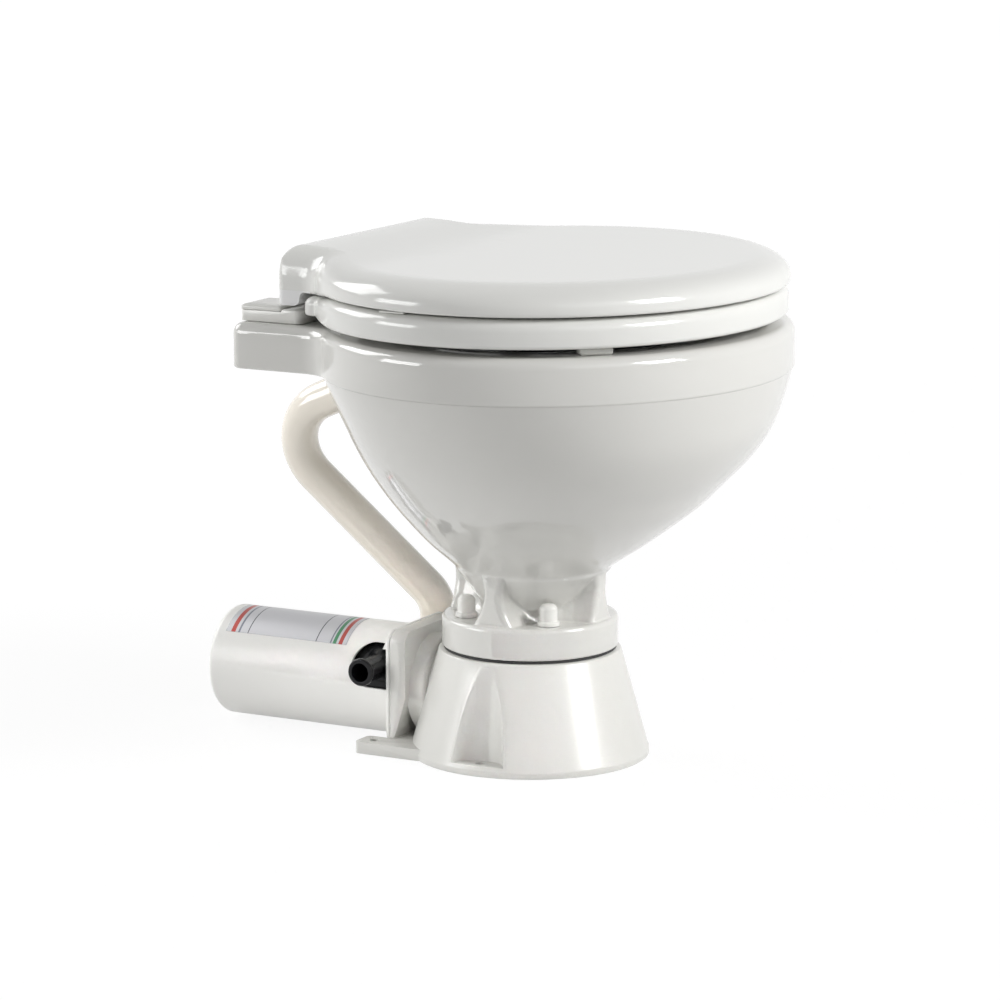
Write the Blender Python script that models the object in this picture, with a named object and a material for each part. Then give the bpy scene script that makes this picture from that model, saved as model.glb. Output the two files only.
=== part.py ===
"""Compact electric marine toilet, modelled as separate parts in metres.

Frame: +Z up, the floor is z = 0 and the origin lies on the axis of the base cone.
The front of the bowl faces -Y, the pump motor and the hinge deck are at +Y.
The lid is closed and the seat is down. All sizes are in metres.
"""
import math

import bmesh
import bpy
from mathutils import Matrix, Vector

# Shared by all pieces
GAP = 0.0003                # clearance between pieces that touch
OVER = 0.0100               # how far a cutter runs past the piece it cuts
LAP = 0.0004                # how far two joined shapes reach into each other
WELD = 0.000005             # points closer than this become one after a cut
CHAMFER = 0.0008            # small broken edge
FINE_CHAMFER = 0.0005

# Base moulding
FOOT_R = 0.0820             # radius of the foot on the floor
FOOT_LIP = 0.0050           # height of its upright lip
NECK_R = 0.0625             # radius of the cone under the gasket
BASE_TOP = 0.0740
SUMP_R = 0.0330             # waste bore in the middle of the base
SUMP_FLOOR = 0.0120
SUMP_FILLET = 0.0060
RECESS_R = 0.0200           # upright round recess for each side screw
RECESS_X = 0.0839
RECESS_FLOOR = 0.0070
SIDE_SCREW_X = 0.0720
SCREW_HOLE_R = 0.0030
BOLT_HOLE_FLOOR = 0.0450
PLATE_X = 0.0625            # half width of the floor plate and its two rear lugs
PLATE_Y0 = 0.0300
PLATE_T = 0.0080
LUG_X0 = 0.0425
LUG_Y1 = 0.1036
LUG_CORNER = 0.0040
LUG_HOLE_X = 0.0525
LUG_HOLE_Y = 0.0935

# Pump housing of the base; the pump axis runs along Y
AXIS_Z = 0.0405
RING_R = 0.0355
RING_Y0 = 0.0636
RING_EDGE = 0.0024
FLANGE_Y0 = 0.0752
FLANGE_Y1 = 0.0872
FLANGE_HALF = 0.0410
FLANGE_TOP = 0.0825
FLANGE_CORNER = 0.0090
WEDGE_TOP = 0.0365          # below this height the flange thins towards the floor
WEDGE_BACK = 0.0840
PORT_NECK_R = 0.0310
CHAMBER_R = 0.0270
CHAMBER_Y0 = 0.0470
CHAMBER_PORT_R = 0.0180
PORT_Y0 = 0.0150
OUTLET_Y = 0.0655           # discharge boss on the far side
OUTLET_R = 0.0160
OUTLET_BORE_R = 0.0110
OUTLET_X0 = 0.0200
OUTLET_X1 = 0.0560
RELIEF = 0.0010             # the cone is cut back this far round the clamp ring

# Gasket under the bowl
GASKET_T = 0.0016
GASKET_SET_BACK = 0.0012
GASKET_BORE = 0.0015        # added to the sump radius

# Bowl collar, bolts and the four fins between them
COLLAR_R = 0.0604
COLLAR_Z0 = BASE_TOP + GAP + GASKET_T + GAP
COLLAR_T = 0.0215
COLLAR_EDGE = 0.0030
BOLT_X = 0.0330
BOLT_Y = 0.0315
BOLT_R = 0.0025
BOLT_HOLE_R = 0.0032
BOLT_END = 0.0480
BOLT_WASHER_R = 0.0047
BOLT_WASHER_T = 0.0012
BOLT_HEAD_R = 0.0045
BOLT_HEAD_T = 0.0035
CAP_FLANGE_R = 0.0076
CAP_FLANGE_T = 0.0028
CAP_R = 0.0061
CAP_WALL = 0.0010
CAP_TOP = 0.0150            # height of the dome above the collar
FIN_R = 0.0580
FIN_HALF = 0.0066           # half the thickness of a fin at its narrowest
FIN_TOP = 0.1370
FIN_CORNER = 0.0045
FIN_HOLLOW_SHARE = 0.83     # of the reach, where the hollow between two fins starts
# (height share from the collar to the fin's top, thickness share, length share)
FIN_SHARES = ((-0.10, 1.60, 1.00), (0.03, 1.35, 1.00), (0.14, 1.10, 1.00), (0.40, 1.00, 1.00),
              (0.62, 1.15, 1.00), (0.80, 1.70, 1.00), (1.00, 2.60, 0.82))
CORE_R = 0.0330

# Bowl
RIM_Z = 0.3000              # top of the rim and of the deck
BAND_Z = 0.2688             # lower edge of the upright band under the rim
RIM_A = 0.1786              # half width of the band
RIM_B = 0.1548              # half length of the oval part of the band
RIM_YC = -0.0216
BAND_EDGE = 0.0020
RIM_EDGE = 0.0075
DECK_X = 0.1100
DECK_Y1 = 0.1712
DECK_BLEND = 0.0300         # hollow curve where the band runs into the deck
DECK_CORNER = 0.0085
FUNNEL_Z0 = 0.1343          # the funnel's lowest oval section
FUNNEL_INSET = 0.0012       # the funnel starts this far inside the band
# (height share, half width share, half length share, centre share), from the lowest up
FUNNEL_SHARES = ((0.000, 0.320, 0.367, 0.14), (0.107, 0.430, 0.486, 0.30), (0.214, 0.528, 0.589, 0.48),
                 (0.320, 0.621, 0.682, 0.66), (0.427, 0.702, 0.758, 0.78), (0.532, 0.777, 0.828, 0.93),
                 (0.637, 0.842, 0.884, 1.04), (0.740, 0.893, 0.926, 1.09), (0.870, 0.951, 0.964, 1.06),
                 (1.000, 1.000, 1.000, 1.00))
# (height share from the collar's top to the funnel, radius share between core and funnel)
CORE_SHARES = ((0.00, 0.00), (0.15, 0.03), (0.30, 0.13), (0.50, 0.36), (0.70, 0.60), (0.86, 0.82))
OPEN_A = 0.1360             # opening inside the rim
OPEN_B = 0.1130
OPEN_YC = -0.0270
OPEN_EDGE = 0.0060
LIP_H = 0.0260              # depth of the overhanging rim
LIP_UNDER = 0.0060
LIP_BACK = 0.0110
WALL = 0.0110
THROAT_R = 0.0240
# (height share below the funnel, radius share between throat and funnel)
THROAT_SHARES = ((1.00, 1.00), (0.80, 0.62), (0.55, 0.25), (0.25, 0.0))
POCKET_X0 = 0.0700          # hollow under the deck round each hinge nut
POCKET_X1 = 0.1000
POCKET_Y0 = 0.1200
POCKET_Y1 = 0.1565
POCKET_TOP = 0.2880
POCKET_CORNER = 0.0050

# Spud and flush hose behind the bowl
SPUD_Y = 0.1287
SPUD_Z = 0.2469
SPUD_TILT = math.radians(23.0)
SPUD_R = 0.0095
SPUD_BORE_R = 0.0070
SPUD_IN = 0.0240            # how far the spud reaches inwards and outwards
SPUD_OUT = 0.0290
NOZZLE_WALL = 0.0020        # closed inner end; the rinse leaves by two small side holes
NOZZLE_AT = 0.0055
NOZZLE_R = 0.0015
SPOT_FACE = 0.0062          # depth of the flat for the nut
SPOT_FACE_R = 0.0185
NUT_R = 0.0165
NUT_T = 0.0085
HOSE_R = 0.0130
HOSE_BORE_R = SPUD_R + GAP
HOSE_START = 0.0035
HOSE_RUN = 0.0888           # from the bowl to the upper bend's corner
HOSE_BEND_TOP = 0.0390
HOSE_BEND_LOW = 0.0300
HOSE_LOW_Z = 0.0864
HOSE_END_Z = 0.0520
HOSE_STEP = 0.0085
CLIP_T = 0.0012
CLIP_W = 0.0090
CLIP_FROM_END = 0.0060
SCREW_BOX = 0.0060
SCREW_BOX_HALF = 0.0065
SCREW_BOX_SINK = 0.0006

# Seal plate, motor cover and rinse pump
SEAL_Y0 = FLANGE_Y1 + GAP
SEAL_T = 0.0030
SEAL_Z0 = 0.0020
SEAL_HOLE_R = 0.0090        # seat of the shaft seal, with a thin web in front of it
SEAL_WEB_T = 0.0008
SEAL_RING_R = SEAL_HOLE_R - GAP
COVER_R = 0.0386
COVER_WALL = 0.0022
COVER_Y0 = SEAL_Y0 + SEAL_T + GAP
COVER_Y1 = 0.2372
COVER_EDGE = 0.0050
PORT_Y = 0.1030             # both rinse ports
INLET_Z = 0.0548
INLET_R = 0.0096
INLET_TUBE_R = 0.0087
INLET_BORE_R = 0.0066
INLET_X = -0.0550
INLET_LIP = 0.0030
INLET_CONE = 0.0100
INLET_ROOT_X = -0.0270
INLET_BORE_X1 = -0.0120
SLOT_R = 0.0153             # open slot in the cover round the inlet
SLOT_Z = 0.0562
SLOT_Y = 0.1062
SLOT_X0 = 0.0120
SLOT_TAB = 0.0040           # little step at the slot's mouth
FAR_SLOT_R = 0.0125
RINSE_ELBOW_X = 0.0560
RINSE_ELBOW_TOP = 0.0690
RINSE_BEND = 0.0105
RINSE_R = 0.0350
RINSE_CHAMBER_R = 0.0235
RINSE_Y1 = 0.1225
RINSE_BACK_T = 0.0045

# Motor
SHAFT_R = 0.0040
SHAFT_BORE_R = SHAFT_R + GAP
BELL_T = 0.0035
BELL_Y0 = RINSE_Y1 + GAP
CAN_R = 0.0345
CAN_WALL = 0.0020
CAN_Y0 = BELL_Y0 + BELL_T + GAP
CAN_Y1 = 0.2225
BEARING_R = 0.0078
MAGNET_R = 0.0262
MAGNET_Y0 = 0.1400
MAGNET_Y1 = 0.2000
MAGNET_START = 0.35         # radians above the horizontal where a magnet starts
ARMATURE_R = 0.0256
ARMATURE_Y0 = 0.1420
ARMATURE_Y1 = 0.1980
COMMUTATOR_R = 0.0100
COMMUTATOR_Y0 = 0.2035
COMMUTATOR_Y1 = 0.2145
BRUSH_Y0 = 0.2060
BRUSH_Y1 = 0.2120
BRUSH_HALF = 0.0030
BRUSH_CLEAR = 0.0005
SHAFT_Y0 = 0.0450
SHAFT_Y1 = 0.2290

# Impellers, blade and chopper plate
FLEX_Y0 = 0.0920
FLEX_Y1 = 0.1175
FLEX_HUB = 0.0100
FLEX_CLEAR = 0.0005
FLEX_VANE = 0.0022
FLEX_COUNT = 8
WASTE_Y0 = 0.0575
WASTE_Y1 = 0.0704
WASTE_HUB = 0.0090
WASTE_R = 0.0240
WASTE_VANE = 0.0025
WASTE_DISC = 0.0016
WASTE_COUNT = 5
BLADE_Y0 = 0.0485
BLADE_Y1 = 0.0505
BLADE_HUB = 0.0085
BLADE_R = 0.0240
BLADE_W = 0.0110
CHOPPER_Y0 = 0.0525
CHOPPER_Y1 = 0.0545
CHOPPER_CLEAR = 0.0010
CHOPPER_HOLES_AT = 0.0160
CHOPPER_HOLE_R = 0.0058
CHOPPER_COUNT = 5
HOUSING_Y0 = 0.0735
HOUSING_CLEAR = 0.0008

# Discharge side: clamp ring, joker valve and swivel elbow
CLAMP_X0 = 0.0480
CLAMP_X1 = 0.0640
CLAMP_R = 0.0205
CLAMP_LIP_R = 0.0140
CLAMP_LIP_T = 0.0015
CLAMP_GRIPS = 8
GRIP_R = 0.0028
GRIP_AT = 0.0222
VALVE_FLANGE_T = 0.0016
VALVE_LENGTH = 0.0087
VALVE_TIP_R = 0.0075
VALVE_TIP_BORE_R = 0.0010   # its lips are shut at rest but for a small hole
VALVE_BODY_R = 0.0098
VALVE_BORE_R = 0.0088
ELBOW_X = 0.0850
ELBOW_Y1 = 0.1120
ELBOW_R = 0.0126
ELBOW_BORE_R = 0.0104
ELBOW_BEND = 0.0150
ELBOW_FLANGE_R = 0.0152
ELBOW_FLANGE_T = 0.0038
ELBOW_BARB = 0.0012
BARB_PITCH = 0.0055
BARB_COUNT = 3

# Hinges
PIN_Y = 0.1560
PIN_Z = 0.3050
PIN_R = 0.0020
PIN_FIT = 0.00015
PIN_X0 = 0.0365
PIN_X1 = 0.0960
KNUCKLE_R = 0.0043
BLOCK_X0 = 0.0640
BLOCK_X1 = 0.1000
BLOCK_Y0 = 0.1210
BLOCK_Y1 = 0.1680
BLOCK_H = 0.0091
BLOCK_FRONT_CORNER = 0.0050
BLOCK_REAR_CORNER = 0.0030
BLOCK_SHELF = 0.0016        # how much lower the block is under its cap
CAP_Y0 = 0.1360             # front of the sliding cap
CAP_SIDE = 0.0018
CAP_CROWN = 0.0022
CAP_CROWN_IN = 0.0060
HINGE_BOLT_X = 0.0820
HINGE_BOLT_Y = 0.1440
HINGE_BOLT_R = 0.0030
HINGE_HEAD_R = 0.0060
HINGE_HEAD_POCKET_R = 0.0068
HINGE_HEAD_POCKET = 0.0036
HINGE_BOLT_END = 0.0270     # how far the bolt reaches below the block
WING_HUB_R = 0.0075
WING_HUB_T = 0.0100
WING_SPAN = 0.0108
WING_HALF = 0.0016
WING_DROP = 0.0035
WING_EDGE = 0.0010

# Seat
SEAT_IN_A = 0.0012          # how far the seat stays inside the band, at the side and at the front
SEAT_IN_B = 0.0007
SEAT_SHIFT = 0.0042
SEAT_A = RIM_A - SEAT_IN_A
SEAT_B = RIM_B - SEAT_IN_B
SEAT_YC = RIM_YC + SEAT_SHIFT
SEAT_SIDE = 0.1060
SEAT_REAR = 0.1172
SEAT_BLEND = 0.0030
SEAT_CORNER = 0.0080
SEAT_Z0 = 0.3055
SEAT_T = 0.0190
SEAT_EDGE = 0.0080
SEAT_EDGE_LOW = 0.0030
SEAT_DROP = 0.0040          # the top falls this much at the rear corners
SEAT_LIFT = 0.0018          # and the underside rises by this much
SEAT_DROP_Y0 = 0.0700
SEAT_OPEN_A = 0.1080
SEAT_OPEN_B = 0.1000
SEAT_OPEN_YC = -0.0300
SEAT_INNER_EDGE = 0.0070
SEAT_EAR_X0 = 0.0385
SEAT_EAR_X1 = 0.0480
EAR_SINK = 0.0080           # how far an ear reaches into its seat or lid
EAR_LOW = 0.0030
EAR_HIGH = 0.0065
EAR_SLACK = 0.0010
PAD_LENGTH = 0.0220
PAD_WIDTH = 0.0100
PAD_EDGE = 0.0012
# (x share of the half width, y share of the half length, turn in degrees) of each pad
PAD_SHARES = {"front_left": (-0.69, -0.61, -45.0), "front_right": (0.69, -0.61, 45.0),
              "rear_left": (-0.62, 0.56, 45.0), "rear_right": (0.62, 0.56, -45.0)}

# Lid
LID_IN_A = 0.0009           # against the seat
LID_OUT_B = 0.0009
LID_SHIFT = 0.0006
LID_A = SEAT_A - LID_IN_A
LID_B = SEAT_B + LID_OUT_B
LID_YC = SEAT_YC - LID_SHIFT
TAB_X = 0.0990
TAB_Y1 = 0.1405
TAB_BLEND = 0.0220
TAB_CORNER = 0.0060
LID_GAP = 0.0016            # between the seat's top and the lid's lower edge
LID_Z0 = SEAT_Z0 + SEAT_T + LID_GAP
LID_T = 0.0200
LID_SIDE = 0.0045           # upright part of the edge
LID_LOW_EDGE = 0.0022
LID_ROUND = 0.0250          # width of the big rounding of the upper edge
LID_TAB_ROUND = 0.0200
LID_RISE = 0.0062           # the top climbs this much towards the hinge
LID_RISE_Y0 = 0.0500
LID_RISE_Y1 = 0.1250
LID_DROP = 0.0045           # the lower edge falls this much at the tab
LID_DROP_Y0 = 0.0780
LID_DROP_Y1 = 0.1130
LID_RIM_W = 0.0120
LID_CEILING = 0.0140
LID_CEILING_FILLET = 0.0040
LID_SHRINK_SHARES = (0.75, 0.5, 0.25)
SKIRT_Z0 = 0.3126
SKIRT_Y0 = 0.1225
SKIRT_EDGE = 0.0050
SKIRT_FILLET = 0.0040
SKIRT_WEB_Y = 0.0100
SKIRT_WEB_Z = 0.0095
LID_EAR_X0 = 0.0505
LID_EAR_X1 = 0.0600
LID_PAD_IN = 0.0075
LID_PAD_X = LID_A - LID_PAD_IN
LID_PAD_Y = 0.0100
LID_PAD_HALF_X = 0.0035
LID_PAD_HALF_Y = 0.0090
LID_PAD_EDGE = 0.0003

# Steps round a circle, from the largest pieces to the smallest
WIDE, ROUND, MID, SMALL, TINY = 48, 36, 24, 16, 12

WHITE = (0.80, 0.80, 0.77)
GLAZE = (0.82, 0.82, 0.79)
WARM = (0.78, 0.77, 0.73)
CREAM = (0.84, 0.78, 0.68)
BLACK = (0.012, 0.012, 0.013)
RUBBER = (0.025, 0.025, 0.025)
STEEL = (0.60, 0.60, 0.60)
SHARP_ANGLE = math.radians(32.0)


def clear_scene():
    for obj in list(bpy.data.objects):
        bpy.data.objects.remove(obj, do_unlink=True)


def make(name, bm, colour, rough, metal=0.0, location=(0.0, 0.0, 0.0), sharp=SHARP_ANGLE):
    """Turn a bmesh into a named object with its own material and its origin at location."""
    bmesh.ops.recalc_face_normals(bm, faces=bm.faces)
    mesh = bpy.data.meshes.new(name)
    bmesh.ops.translate(bm, verts=bm.verts, vec=-Vector(location))
    bm.to_mesh(mesh)
    bm.free()
    obj = bpy.data.objects.new(name, mesh)
    obj.location = location
    bpy.context.scene.collection.objects.link(obj)
    mat = bpy.data.materials.new(name)
    mat.use_nodes = True
    shader = mat.node_tree.nodes["Principled BSDF"]
    shader.inputs["Base Color"].default_value = (*colour, 1.0)
    shader.inputs["Roughness"].default_value = rough
    shader.inputs["Metallic"].default_value = metal
    mesh.materials.append(mat)
    mesh.shade_smooth()
    mesh.set_sharp_from_angle(angle=sharp)
    return obj


def tool(bm):
    """A temporary solid for a boolean."""
    bmesh.ops.recalc_face_normals(bm, faces=bm.faces)
    mesh = bpy.data.meshes.new("tool")
    bm.to_mesh(mesh)
    bm.free()
    obj = bpy.data.objects.new("tool", mesh)
    bpy.context.scene.collection.objects.link(obj)
    obj.hide_render = True
    obj.display_type = "WIRE"
    return obj


def combine(obj, bm, operation):
    """Apply an exact boolean with a bmesh or with another object, then drop the other one."""
    other = bm if isinstance(bm, bpy.types.Object) else tool(bm)
    mod = obj.modifiers.new("combine", "BOOLEAN")
    mod.operation = operation
    mod.solver = "EXACT"
    mod.object = other
    graph = bpy.context.evaluated_depsgraph_get()
    graph.update()
    mesh = bpy.data.meshes.new_from_object(obj.evaluated_get(graph))
    clean = bmesh.new()
    clean.from_mesh(mesh)
    bmesh.ops.remove_doubles(clean, verts=clean.verts, dist=WELD)
    bmesh.ops.dissolve_degenerate(clean, edges=clean.edges, dist=WELD)
    clean.to_mesh(mesh)
    clean.free()
    old, gone = obj.data, other.data
    mats = list(old.materials)
    obj.modifiers.clear()
    obj.data = mesh
    mesh.materials.clear()
    for mat in mats:
        mesh.materials.append(mat)
    for face in mesh.polygons:
        face.material_index = 0
    bpy.data.objects.remove(other, do_unlink=True)
    bpy.data.meshes.remove(gone)
    bpy.data.meshes.remove(old)
    mesh.name = obj.name
    mesh.shade_smooth()
    mesh.set_sharp_from_angle(angle=SHARP_ANGLE)


def join(obj, bm):
    combine(obj, bm, "UNION")


def cut(obj, bm):
    combine(obj, bm, "DIFFERENCE")


def common(obj, bm):
    combine(obj, bm, "INTERSECT")


def bridge(bm, low, high):
    count = max(len(low), len(high))
    if count == 1:
        return
    for i in range(count):
        j = (i + 1) % count
        if len(low) == 1:
            bm.faces.new((low[0], high[i], high[j]))
        elif len(high) == 1:
            bm.faces.new((low[i], low[j], high[0]))
        else:
            bm.faces.new((low[i], low[j], high[j], high[i]))


def turned(profile, axis="z", centre=(0.0, 0.0, 0.0), segs=MID, ring=False):
    """Turn a profile of (along, radius) pairs about a world axis. A zero radius is a pole."""
    def place(along, angle, radius):
        u, v = radius * math.cos(angle), radius * math.sin(angle)
        offset = {"x": (along, u, v), "y": (v, along, u), "z": (u, v, along)}[axis]
        return [c + d for c, d in zip(centre, offset)]
    bm = bmesh.new()
    rows = []
    for along, radius in profile:
        steps = segs if radius > 0.0 else 1
        rows.append([bm.verts.new(place(along, 2 * math.pi * i / segs, radius)) for i in range(steps)])
    pairs = list(zip(rows, rows[1:]))
    if ring:
        pairs.append((rows[-1], rows[0]))
    for low, high in pairs:
        bridge(bm, low, high)
    return bm


def rod(axis, centre, radius, start, end, segs=MID):
    return turned([(start, 0.0), (start, radius), (end, radius), (end, 0.0)], axis, centre, segs)


def washer(axis, centre, outer, inner, start, end, segs=MID):
    return turned([(start, outer), (end, outer), (end, inner), (start, inner)], axis, centre, segs, ring=True)


def box(x0, x1, y0, y1, z0, z1):
    bm = bmesh.new()
    bmesh.ops.create_cube(bm, size=2)
    for v in bm.verts:
        v.co = Vector([(low + high) / 2 + c * (high - low) / 2
                       for c, low, high in zip(v.co, (x0, y0, z0), (x1, y1, z1))])
    return bm


def rounded_box(x0, x1, y0, y1, z0, z1, edge, steps=1):
    bm = box(x0, x1, y0, y1, z0, z1)
    bmesh.ops.bevel(bm, geom=list(bm.edges), offset=edge, segments=steps, profile=0.5, affect="EDGES")
    return bm


def loft(rings, capped=True):
    """Bridge rings of equal length; a ring of one point closes an end."""
    bm = bmesh.new()
    rows = [[bm.verts.new(p) for p in ring] for ring in rings]
    for low, high in zip(rows, rows[1:]):
        bridge(bm, low, high)
    if capped:
        for row in (rows[0], rows[-1]):
            if len(row) > 2:
                bm.faces.new(row)
    else:
        bridge(bm, rows[-1], rows[0])
    return bm


def prism(outline, low, high, axis="z"):
    """Extrude a closed outline of (u, v) points between two levels along an axis."""
    order = {"x": lambda u, v, w: (w, u, v), "y": lambda u, v, w: (u, w, v), "z": lambda u, v, w: (u, v, w)}
    return loft([[order[axis](u, v, w) for u, v in outline] for w in (low, high)])


def rounded(corners, steps=4):
    """Outline with each corner (u, v, radius) turned into an arc."""
    points = []
    for i, (u, v, radius) in enumerate(corners):
        here = Vector((u, v))
        if radius <= 0.0:
            points.append((u, v))
            continue
        before = (Vector(corners[i - 1][:2]) - here).normalized()
        after = (Vector(corners[(i + 1) % len(corners)][:2]) - here).normalized()
        half = math.acos(max(-1, min(1, before.dot(after)))) / 2
        centre = here + (before + after).normalized() * (radius / math.sin(half))
        start = here + before * (radius / math.tan(half)) - centre
        end = here + after * (radius / math.tan(half)) - centre
        turn = math.atan2(start.x * end.y - start.y * end.x, start.dot(end))
        for k in range(steps + 1):
            c, s = math.cos(turn * k / steps), math.sin(turn * k / steps)
            points.append((centre.x + start.x * c - start.y * s, centre.y + start.x * s + start.y * c))
    return points


def rectangle(x0, x1, y0, y1, corner=0.0, steps=3):
    return rounded([(x0, y0, corner), (x1, y0, corner), (x1, y1, corner), (x0, y1, corner)], steps)


def polygon(radius, cx, cy, sides=6):
    return [(cx + radius * math.cos(2 * math.pi * k / sides), cy + radius * math.sin(2 * math.pi * k / sides))
            for k in range(sides)]


def oval(a, b, yc, z, segs=WIDE):
    return [(a * math.cos(2 * math.pi * i / segs), yc + b * math.sin(2 * math.pi * i / segs), z)
            for i in range(segs)]


def tabbed_oval(a, b, yc, side, rear, blend, corner, steps=(13, 3, 2, 3, 2)):
    """An oval that runs through a hollow curve into straight sides and a straight rear edge.

    The points run from the middle of the front round the +X side and back again.
    """
    def normal(t):
        n = Vector((math.cos(t) / a, math.sin(t) / b))
        return n.normalized()
    low, high = 0.0, math.pi / 2
    for _ in range(40):
        t = (low + high) / 2
        if a * math.cos(t) + blend * normal(t).x > side + blend:
            low = t
        else:
            high = t
    n = normal(t)
    cx, cy = side + blend, yc + b * math.sin(t) + blend * n.y
    facing = math.atan2(n.y, n.x)
    n_oval, n_blend, n_side, n_corner, n_rear = steps
    half = [(a * math.sin((t + math.pi / 2) * k / n_oval), yc - b * math.cos((t + math.pi / 2) * k / n_oval))
            for k in range(n_oval + 1)]
    for k in range(1, n_blend + 1):
        angle = math.pi + facing * (1 - k / n_blend)
        half.append((cx + blend * math.cos(angle), cy + blend * math.sin(angle)))
    for k in range(1, n_side + 1):
        half.append((side, cy + (rear - corner - cy) * k / n_side))
    for k in range(1, n_corner + 1):
        angle = math.pi / 2 * k / n_corner
        half.append((side - corner + corner * math.cos(angle), rear - corner + corner * math.sin(angle)))
    for k in range(1, n_rear + 1):
        half.append(((side - corner) * (1 - k / n_rear), rear))
    return half + [(-x, y) for x, y in half[-2:0:-1]]


def ease(value, start, end):
    """0 before start, 1 after end, with a smooth run between."""
    t = max(0, min(1, (value - start) / (end - start)))
    return t * t * (3 - 2 * t)


def bent_path(corners, radii, step):
    """Straight runs between corners, with an arc of the given radius at each inner corner."""
    pts = [Vector(p) for p in corners]
    out = [pts[0]]
    for i in range(1, len(pts) - 1):
        before = (pts[i - 1] - pts[i]).normalized()
        after = (pts[i + 1] - pts[i]).normalized()
        half = before.angle(after) / 2
        radius = radii[i - 1]
        centre = pts[i] + (before + after).normalized() * (radius / math.sin(half))
        start = pts[i] + before * (radius / math.tan(half)) - centre
        end = pts[i] + after * (radius / math.tan(half)) - centre
        normal = start.cross(end).normalized()
        sweep = math.pi - 2 * half
        count = max(3, round(radius * sweep / step))
        for k in range(count + 1):
            out.append(centre + Matrix.Rotation(sweep * k / count, 3, normal) @ start)
    out.append(pts[-1])
    return out


def fill_runs(path, step):
    """Add points along the straight runs of a path."""
    out = [path[0]]
    for p in path[1:]:
        count = max(1, round((p - out[-1]).length / step))
        last = out[-1]
        out += [last.lerp(p, k / count) for k in range(1, count + 1)]
    return out


def tube(path, radii, bore=None, segs=SMALL):
    """Sweep circles along a path. With a bore the tube is open from end to end."""
    frames = []
    side = None
    for i, p in enumerate(path):
        ahead = (path[min(i + 1, len(path) - 1)] - path[max(i - 1, 0)]).normalized()
        side = ahead.orthogonal() if side is None else side
        side = (side - ahead * side.dot(ahead)).normalized()
        frames.append((p, side.copy(), ahead.cross(side)))

    def circle(frame, radius):
        p, u, v = frame
        return [p + radius * (u * math.cos(2 * math.pi * k / segs) + v * math.sin(2 * math.pi * k / segs))
                for k in range(segs)]
    outer = [circle(f, r) for f, r in zip(frames, radii)]
    if bore is None:
        return loft(outer)
    return loft(outer + [circle(f, bore) for f in reversed(frames)], capped=False)


clear_scene()
PUMP_AXIS = (0.0, 0.0, AXIS_Z)
COLLAR_Z1 = COLLAR_Z0 + COLLAR_T
BOLTS = {"front_left": (-BOLT_X, -BOLT_Y), "front_right": (BOLT_X, -BOLT_Y),
         "rear_left": (-BOLT_X, BOLT_Y), "rear_right": (BOLT_X, BOLT_Y)}
SIDES = {"left": -1, "right": 1}

# Base moulding: cone, floor plate with lugs, pump ring and motor flange in one piece
base = make("base", turned([
    (0.0, 0.0), (0.0, FOOT_R - CHAMFER), (CHAMFER, FOOT_R), (FOOT_LIP, FOOT_R),
    (FOOT_LIP + CHAMFER, FOOT_R - CHAMFER), (BASE_TOP - CHAMFER, NECK_R), (BASE_TOP, NECK_R - CHAMFER),
    (BASE_TOP, 0.0)], segs=WIDE), WHITE, 0.28)
join(base, prism(rounded([
    (-PLATE_X, PLATE_Y0, 0.0), (PLATE_X, PLATE_Y0, 0.0), (PLATE_X, LUG_Y1, LUG_CORNER),
    (LUG_X0, LUG_Y1, LUG_CORNER), (LUG_X0, FLANGE_Y1, 0.0), (-LUG_X0, FLANGE_Y1, 0.0),
    (-LUG_X0, LUG_Y1, LUG_CORNER), (-PLATE_X, LUG_Y1, LUG_CORNER)], 3), 0.0, PLATE_T))
flange = tool(prism(rounded([
    (-FLANGE_HALF, PLATE_T / 2, 0.0), (FLANGE_HALF, PLATE_T / 2, 0.0),
    (FLANGE_HALF, FLANGE_TOP, FLANGE_CORNER), (-FLANGE_HALF, FLANGE_TOP, FLANGE_CORNER)]),
    FLANGE_Y0, FLANGE_Y1 - LAP / 4, "y"))
cut(flange, prism([
    (FLANGE_Y0 - OVER, WEDGE_TOP + LAP), (FLANGE_Y0, WEDGE_TOP), (WEDGE_BACK, PLATE_T),
    (WEDGE_BACK, PLATE_T - OVER), (FLANGE_Y0 - OVER, PLATE_T - OVER)],
    -FLANGE_HALF - OVER, FLANGE_HALF + OVER, "x"))
join(base, flange)
join(base, turned([(RING_Y0, 0.0), (RING_Y0, RING_R - RING_EDGE), (RING_Y0 + RING_EDGE / 3, RING_R - RING_EDGE / 3),
                   (RING_Y0 + RING_EDGE, RING_R), (FLANGE_Y1 - OVER, RING_R), (FLANGE_Y1 - OVER, 0.0)],
                  "y", PUMP_AXIS, ROUND))
join(base, rod("y", PUMP_AXIS, PORT_NECK_R, PLATE_Y0, RING_Y0 + LAP, ROUND))
OUT = (0.0, OUTLET_Y, AXIS_Z)
cut(base, rod("x", OUT, CLAMP_R + RELIEF, CLAMP_X0 - RELIEF, FOOT_R + OVER, MID))
join(base, rod("x", OUT, OUTLET_R, OUTLET_X0, OUTLET_X1, MID))
cut(base, turned([(SUMP_FLOOR, 0.0), (SUMP_FLOOR, SUMP_R - SUMP_FILLET), (SUMP_FLOOR + SUMP_FILLET, SUMP_R),
                  (BASE_TOP + OVER, SUMP_R), (BASE_TOP + OVER, 0.0)], segs=ROUND))
cut(base, rod("y", PUMP_AXIS, CHAMBER_PORT_R, PORT_Y0, CHAMBER_Y0 + LAP, MID))
cut(base, rod("y", PUMP_AXIS, CHAMBER_R, CHAMBER_Y0, FLANGE_Y1 + OVER, ROUND))
cut(base, rod("x", OUT, OUTLET_BORE_R, PORT_Y0, OUTLET_X1 + OVER, SMALL))
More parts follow.
